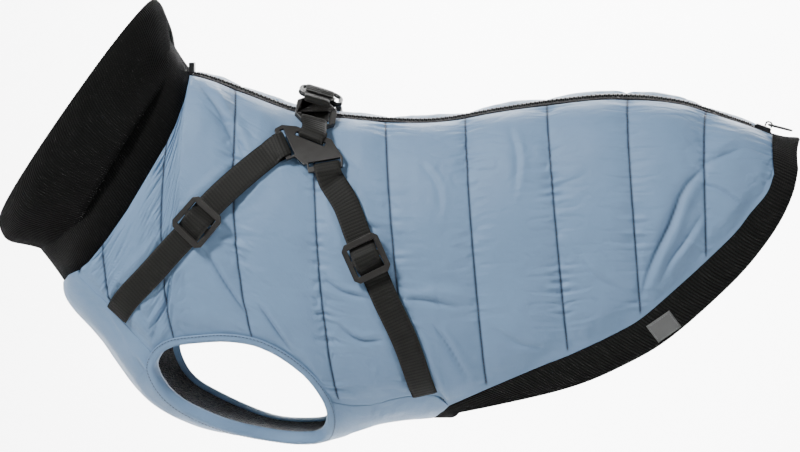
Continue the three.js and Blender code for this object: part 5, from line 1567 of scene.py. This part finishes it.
def band_object(name, middles, sideways, faces_up, half_width, thickness, closed=False):
    """A band of webbing with rounded edges: a flat oval section carried along its middles."""
    v = ACROSS_WEBBING
    offsets = v[None, :, None] * sideways[:, None, :] * np.asarray(half_width)[..., None, None]
    lift = (WEBBING_EDGE * thickness / 2)[None, :, None] * faces_up[:, None, :]
    centre = middles[:, None, :] + offsets
    uv = cloth_map(run_length(middles)[:, None], v[None, :] * np.max(half_width))
    return wall_object(name, centre + lift, centre - lift, uv, around=closed)


def strap(name, side):
    """The strap's spots every 1.5 mm, with the width square to the line, or to the slot."""
    word, flip = SIDES[side]
    line = strap_line(name)
    run = run_length(line)
    goal = body_point(*place_at(*ADJUSTERS[name]))
    adjuster_at = run[np.argmin(np.linalg.norm(line - goal, axis=1))]
    path = spaced(strap_heights(run[-1], adjuster_at), 1.5)
    at = np.minimum(path[:, 0], run[-1])
    point, ahead, behind = (read_along(line, run, where)
                            for where in (at, np.minimum(at + 1, run[-1]), at - 1))
    place = place_at(point[:, 0], point[:, 2])
    normal = directions(*place)[2]
    sideways = unit(np.cross(ahead - behind, normal))
    slot_end, slot_start = (PLATE_MAP.at(*arm_point(name, SLOT, end), 0) for end in (9, -9))
    slot = unit(slot_end - slot_start)
    squared = slot * np.sign(sideways @ slot)[:, None]
    near_slot = soft_step(run[-1] - 16, run[-1] - 11, at)[:, None]
    sideways = unit(sideways * (1 - near_slot) + squared * near_slot)
    turn = np.gradient(path, axis=0)
    turn = turn / np.maximum(np.linalg.norm(turn, axis=1, keepdims=True), 1e-9)
    v = ACROSS_WEBBING
    offsets = v[None, :, None] * (WEBBING / 2) * sideways[:, None, :]
    start = [np.broadcast_to(value[:, None], (len(at), len(v))) for value in place]
    there = step_over(*start, offsets)
    out = directions(*there)[2]
    forward = unit(np.cross(out, sideways[:, None, :]))
    face = out * turn[:, None, :1] - forward * turn[:, None, 1:]
    thick = (WEBBING_EDGE * WEBBING_THICK / 2)[None, :, None]
    middle = raised(*there, np.broadcast_to(path[:, 1:] + WEBBING_THICK / 2, (len(at), len(v))))
    uv = cloth_map(run_length(path)[:, None], v[None, :] * WEBBING / 2)
    thing = wall_object(f"strap_{name}_{word}_webbing", (middle + face * thick) * flip,
                        (middle - face * thick) * flip, uv)
    return finished(thing, WEBBING_CLOTH, stands_for=[f"strap_{name}_{word}"])


for side in (LEFT, RIGHT):
    for name in STRAP_ROUTES:
        print(strap(name, side).name)

# %% Top of the harness
TOP_LEAN = math.radians(17)
TOP_BASE = np.array([-0.5, 0, 0])
TOP_WEBBING, LINK_WEBBING, LINK_BAR = 26, 20.2, 4
LINK_TOP, LINK_BOTTOM = (17, 15.4), (37.5, 1.7)
LINK_TURN = math.sin(TOP_LEAN) * (LINK_TOP[1] - LINK_BOTTOM[1]) / (LINK_BOTTOM[0] - LINK_TOP[0])
WRAP = LINK_BAR * 0.75 + WEBBING_THICK / 2 + 0.5


def level_at(q):
    """Direction of a piece's width: level with the back, turned in towards the links."""
    share = np.clip(np.asarray(q, float) / LINK_TOP[0], -1, 1)
    lean = np.stack([math.cos(TOP_LEAN) + 0 * share, LINK_TURN * share,
                     -math.sin(TOP_LEAN) + 0 * share], -1)
    return unit(lean)


def top_point(q, r):
    """A point over the back: q to the left and r up from the harness's middle."""
    q, r = np.broadcast_arrays(np.asarray(q, float), np.asarray(r, float))
    return TOP_BASE + np.stack([0 * q, -q, r], -1)


def round_bar(centre, radius, start, end, count):
    """Points on an arc round a bar's middle; angles in degrees."""
    turn = np.radians(np.linspace(start, end, count + 1))
    return [(centre[0] + radius * math.cos(a), centre[1] + radius * math.sin(a)) for a in turn]


def mirrored_rows(half, middle):
    """Rows of one half, the middle row and the same rows on the other half."""
    return np.array([*half, middle, *[(-q, r) for q, r in half[::-1]]], float)


def across_back(name, rows, width_of, node, offset=0.0):
    """A band over the back along (q, r) rows, with its width along the level direction."""
    path = spaced(curve(rows, 240), 0.9)
    level = level_at(path[:, 0])
    middle = top_point(path[:, 0], path[:, 1]) + level * offset
    face = unit(np.cross(level, np.gradient(middle, axis=0)))
    thing = band_object(name, middle, level, face, width_of(path[:, 0]) / 2, WEBBING_THICK)
    return finished(thing, WEBBING_CLOTH, stands_for=[node])


bridge_rows = mirrored_rows([(2.5, 13), (9, 12.8), *round_bar(LINK_TOP, WRAP, 250, 460, 7),
                             (10, 20.4)], (0, 21.2))
across_back("bridge_webbing", bridge_rows,
            lambda q: np.interp(np.abs(q), [10, 13.5], [TOP_WEBBING, LINK_WEBBING]), "bridge")
across_back("keeper_webbing",
            mirrored_rows([(10.2, 22), (8.4, 22.6), (6, 24), (3, 25.4)], (0, 25.8)),
            lambda q: 0 * q + TOP_WEBBING - 3, "ring_keeper", offset=0.8)
across_back("back_strap_webbing",
            mirrored_rows([(27, 4.6), (22, 7.1), (17, 9.5), (9, 11)], (0, 11.2)),
            lambda q: 0 * q + LINK_WEBBING, "back_strap")


def link_loop(side):
    """A closed band through the plate's top slot and round the link's lower bar."""
    word, flip = SIDES[side]
    outer, inner = SLOT + BAR, SLOT
    above = PLATE_BOTTOM + PLASTIC + 0.8 + WEBBING_THICK / 2
    below = PLATE_BOTTOM - 0.6 - WEBBING_THICK / 2
    spots = []

    def on_plate(out, height):
        a, b = (PLATE_MAP.at(*arm_point("top", out, end), height) for end in (-9, 9))
        middle = PLATE_MAP.at(*arm_point("top", out, 0), height)
        spots.append(np.concatenate([middle, unit(a - b)]))

    for out, height in ((inner - 1.2, above - 1.2), (inner + 0.6, above),
                        (outer + 1, above)):
        on_plate(out, height)
    arc = np.array(round_bar(LINK_BOTTOM, WRAP, 40, 235, 6))
    spots += list(np.hstack([top_point(*arc.T), level_at(arc[:, 0])]))
    for out, height in ((outer + 1, below), (inner + 0.6, below), (inner - 1.2, below + 1.2),
                        (inner - 1.7, (above + below) / 2)):
        on_plate(out, height)
    made = curve(np.array(spots), 150, closed=True)
    middle, level = made[:, :3], unit(made[:, 3:])
    face = unit(np.cross(level, np.roll(middle, -1, 0) - np.roll(middle, 1, 0)))
    thing = band_object(f"loop_{word}_webbing", middle * flip, level * flip, face * flip,
                        np.full(len(made), LINK_WEBBING / 2), WEBBING_THICK, closed=True)
    return finished(thing, WEBBING_CLOTH, stands_for=[f"link_loop_{word}"])


for side in (LEFT, RIGHT):
    print(link_loop(side).name)

# %% [markdown]
# ## Fittings
# The plastic and metal solids already have their true shape. A merged copy of each gets its
# edges rounded, as a mould or a die rounds them, and a fine-grained finish.

# %% Fittings


def rounded_copy(node, width, material):
    """A copy of a solid with doubles merged and its sharp edges bevelled to the width."""
    mesh = frame["nodes"][node].data.copy()
    work = bmesh.new()
    work.from_mesh(mesh)
    bmesh.ops.remove_doubles(work, verts=work.verts, dist=0.00002)
    bmesh.ops.dissolve_limit(work, angle_limit=math.radians(1.2), verts=work.verts,
                             edges=work.edges)
    work.to_mesh(mesh)
    work.free()
    thing = bpy.data.objects.new(f"{node}_finished", mesh)
    bpy.context.scene.collection.objects.link(thing)
    bevel = thing.modifiers.new("rounded edges", "BEVEL")
    bevel.width = width * MM
    bevel.segments = 3
    bevel.limit_method = "ANGLE"
    bevel.angle_limit = math.radians(32)
    bevel.harden_normals = False
    for polygon in mesh.polygons:
        polygon.use_smooth = True
    weighted = thing.modifiers.new("even shading", "WEIGHTED_NORMAL")
    weighted.keep_sharp = False
    return finished(thing, material, stands_for=[node])


# width of the rounding of each fitting's edges
ROUNDINGS = {"adjuster_front": 0.8, "adjuster_rear": 0.8, "connector_plate": 0.8,
             "link_frame": 1.2}
for word in ("left", "right"):
    for node, width in ROUNDINGS.items():
        rounded_copy(f"{node}_{word}", width, FITTING_PLASTIC)
rounded_copy("zip_block", 0.7, TEETH_PLASTIC)
rounded_copy("zip_slider", 0.6, DARK_METAL)
rounded_copy("slider_bridge", 0.3, DARK_METAL)


def wire(name, points, radius, sideways, body, node):
    """Round wire along a closed line: a circle in the plane of the side and the third way."""
    run = unit(np.roll(points, -1, 0) - np.roll(points, 1, 0))
    third = unit(np.cross(run, sideways))
    turn = np.linspace(0, TURN, 16, endpoint=False)
    rings = points[:, None, :] + radius * (np.cos(turn)[None, :, None] * sideways
                                           + np.sin(turn)[None, :, None] * third[:, None, :])
    uv = np.zeros((*rings.shape[:2], 2))
    thing = closed_tube(name, rings, uv)
    return finished(thing, DARK_METAL, body, stands_for=[node])


RING_BAR, RING_HALF, RING_ARM, RING_BOW, RING_WIRE = 17.1, 16, 11, 7.5, 3.6
RING_TILT = math.radians(19)
SLIDER_X, PULL_ALONG, PULL_HEIGHT, PULL_TILT = 340.2, 3.5, 7.2, math.radians(6)
PULL_ROOT, PULL_LONG, PULL_HALF, PULL_WIRE = 2, 16, 3.6, 1.6
HALF_TURN = np.linspace(0, math.pi, 9)


def leash_ring():
    """A D of wire: a straight bar in the bridge, two arms and a half oval bow."""
    bow = zip(RING_HALF * np.cos(HALF_TURN), RING_ARM + RING_BOW * np.sin(HALF_TURN))
    profile = np.array([(-13.8, 0), (-4.5, 0), (4.5, 0), (13.8, 0), (RING_HALF, 2.4),
                        (RING_HALF, 6.5), *bow, (-RING_HALF, 6.5), (-RING_HALF, 2.4)])
    aside, out = profile[:, :1], profile[:, 1]
    points = top_point(-out * math.cos(RING_TILT), RING_BAR + out * math.sin(RING_TILT))
    points = points + level_at(0) * aside
    square = np.array([0, -math.sin(RING_TILT), math.cos(RING_TILT)])
    return wire("leash_ring_wire", curve(points, 140, closed=True), RING_WIRE / 2, square,
                "leash_ring", "leash_ring")


def zip_pull():
    """A long loop of wire: a straight end through the slider's bridge and a blunt oval."""
    slider = body_point(*back_place(SLIDER_X, 0))
    ahead = unit((body_point(*back_place(SLIDER_X + 5, 0)) - slider) * np.array([1, 0, 1]))
    up = np.array([-ahead[2], 0, ahead[0]])
    oval_end = zip(PULL_ROOT + PULL_LONG * np.sin(HALF_TURN).clip(0) ** 0.7,
                   PULL_HALF * np.cos(HALF_TURN))
    profile = np.array([(0, -2.8), (0, 0), (0, 2.8), *oval_end])
    out, aside = profile[:, :1], profile[:, 1:]
    points = slider + np.array([0, -1, 0]) * aside \
        + ahead * (PULL_ALONG + out * math.cos(PULL_TILT)) \
        + up * (PULL_HEIGHT + out * math.sin(PULL_TILT))
    square = up * math.cos(PULL_TILT) - ahead * math.sin(PULL_TILT)
    return wire("zip_pull_wire", curve(points, 90, closed=True), PULL_WIRE / 2, square,
                "zip_pull", "zip_pull")


print(leash_ring().name, zip_pull().name)

# %% [markdown]
# ## Label
# A small woven patch on the hem band, held by a row of stitches along its edges and left bare.

# %% Label
LABEL_AT, LABEL_WIDE, LABEL_TALL, LABEL_THICK = (266.6, -146.2), 21, 16.5, 0.8
LABEL_TURN = math.radians(36)
LABEL_BOTTOM = BAND_RISE + BAND_WALL + 0.4
LABEL_MARGIN = 1.3
label_map = SurfaceMap(*LABEL_AT, -LABEL_TURN)


def label_patch():
    """A wall with a level underside; its top rises from the rim over the first 1.4 mm."""
    a, b = np.meshgrid(np.linspace(-0.5, 0.5, 40) * LABEL_WIDE,
                       np.linspace(-0.5, 0.5, 32) * LABEL_TALL, indexing="ij")
    rim = np.minimum(LABEL_WIDE / 2 - np.abs(a), LABEL_TALL / 2 - np.abs(b))
    top = LABEL_BOTTOM + LABEL_THICK * (0.45 + 0.55 * soft_step(0, 1.4, rim))
    patch = wall_object("label_patch", label_map.at(a, b, top),
                        label_map.at(a, b, 0 * a + LABEL_BOTTOM), cloth_map(a, b))
    return finished(patch, LABEL_CLOTH, stands_for=["label"])


def label_stitches():
    """Four rows of stitches, one along each edge of the patch."""
    x, y = LABEL_WIDE / 2 - LABEL_MARGIN, LABEL_TALL / 2 - LABEL_MARGIN
    corners = np.array([(-x, -y), (x, -y), (x, y), (-x, y), (-x, -y)])
    lines, normals = [], []
    for start, end in zip(corners[:-1], corners[1:]):
        across, up = (start + (end - start) * np.linspace(0, 1, 20)[:, None]).T
        lines.append(label_map.at(across, up, 0 * up + LABEL_BOTTOM + LABEL_THICK + 0.05))
        normals.append(directions(*label_map.place(across, up))[2])
    row = stitches("label_stitches", "label", lines, normals)
    return finished(row, GREY_THREAD)


print(label_patch().name, label_stitches().name)

# %% [markdown]
# ## Stage
# A plain pale sweep stands well clear below and behind the coat. The key lamp stands high on the
# neck side. A weaker one from the tail side, a faint one behind the coat and an even pale sky keep
# the shadows gentle. The fourth lamp faces away from the coat and lights the sweep alone.

# %% Stage
FLOOR_Z, WALL_TOP, SWEEP_Y, SWEEP_RADIUS, HALF_STAGE = -1500, 7000, 3000, 1500, 9000
quarter = np.linspace(0, math.pi / 2, 24)
bend = np.stack([SWEEP_Y + SWEEP_RADIUS * np.sin(quarter),
                 FLOOR_Z + SWEEP_RADIUS * (1 - np.cos(quarter))], -1)
profile = np.vstack([[(-HALF_STAGE, FLOOR_Z)], bend, [(SWEEP_Y + SWEEP_RADIUS, WALL_TOP)]])
sweep = np.stack([np.stack([np.full(len(profile), x), *profile.T], -1)
                  for x in (-HALF_STAGE, HALF_STAGE)])
floor = make_object("floor", sweep.reshape(-1, 3), grid_faces(*sweep.shape[:2]),
                    np.zeros((len(profile) * 2, 2)))
paper, paper_nodes, paper_shader = new_material("pale_paper", Roughness=0.95,
                                                Specular_IOR_Level=0.1)
dyed(paper_nodes, paper_shader, (0.9, 0.9, 0.9, 1), 0.01, 3.0)
floor.data.materials.append(paper)


# name, place in metres, width in metres, watts, the point that it faces
LAMPS = [("key", (-1.35, -1.35, 1.85), 0.55, 92, TARGET),
         ("fill", (1.7, -1.8, 0.7), 1.0, 13, TARGET),
         ("far_side", (0.3, 1.5, 1.2), 1.0, 5, TARGET),
         ("backdrop", (0.1, 2.3, 1.9), 2.6, 1250, Vector((0.1, 4.5, 0.7)))]
SKY_COLOUR, SKY_STRENGTH = (0.93, 0.95, 1, 1), 0.22


def soft_lamp(name, place, size, watts, at):
    """A round soft lamp at a place in metres, turned to face a point."""
    data = bpy.data.lights.new(name, "AREA")
    data.shape = "DISK"
    data.size, data.energy = size, watts
    lamp = bpy.data.objects.new(name, data)
    bpy.context.scene.collection.objects.link(lamp)
    lamp.location = Vector(place)
    lamp.rotation_mode = "QUATERNION"
    lamp.rotation_quaternion = (at - Vector(place)).to_track_quat("-Z", "Y")
    return lamp


for lamp in LAMPS:
    print(soft_lamp(*lamp).name)
world = bpy.data.worlds.new("pale_sky")
world.use_nodes = True
sky = world.node_tree.nodes["Background"]
sky.inputs[0].default_value, sky.inputs[1].default_value = SKY_COLOUR, SKY_STRENGTH
bpy.context.scene.world = world
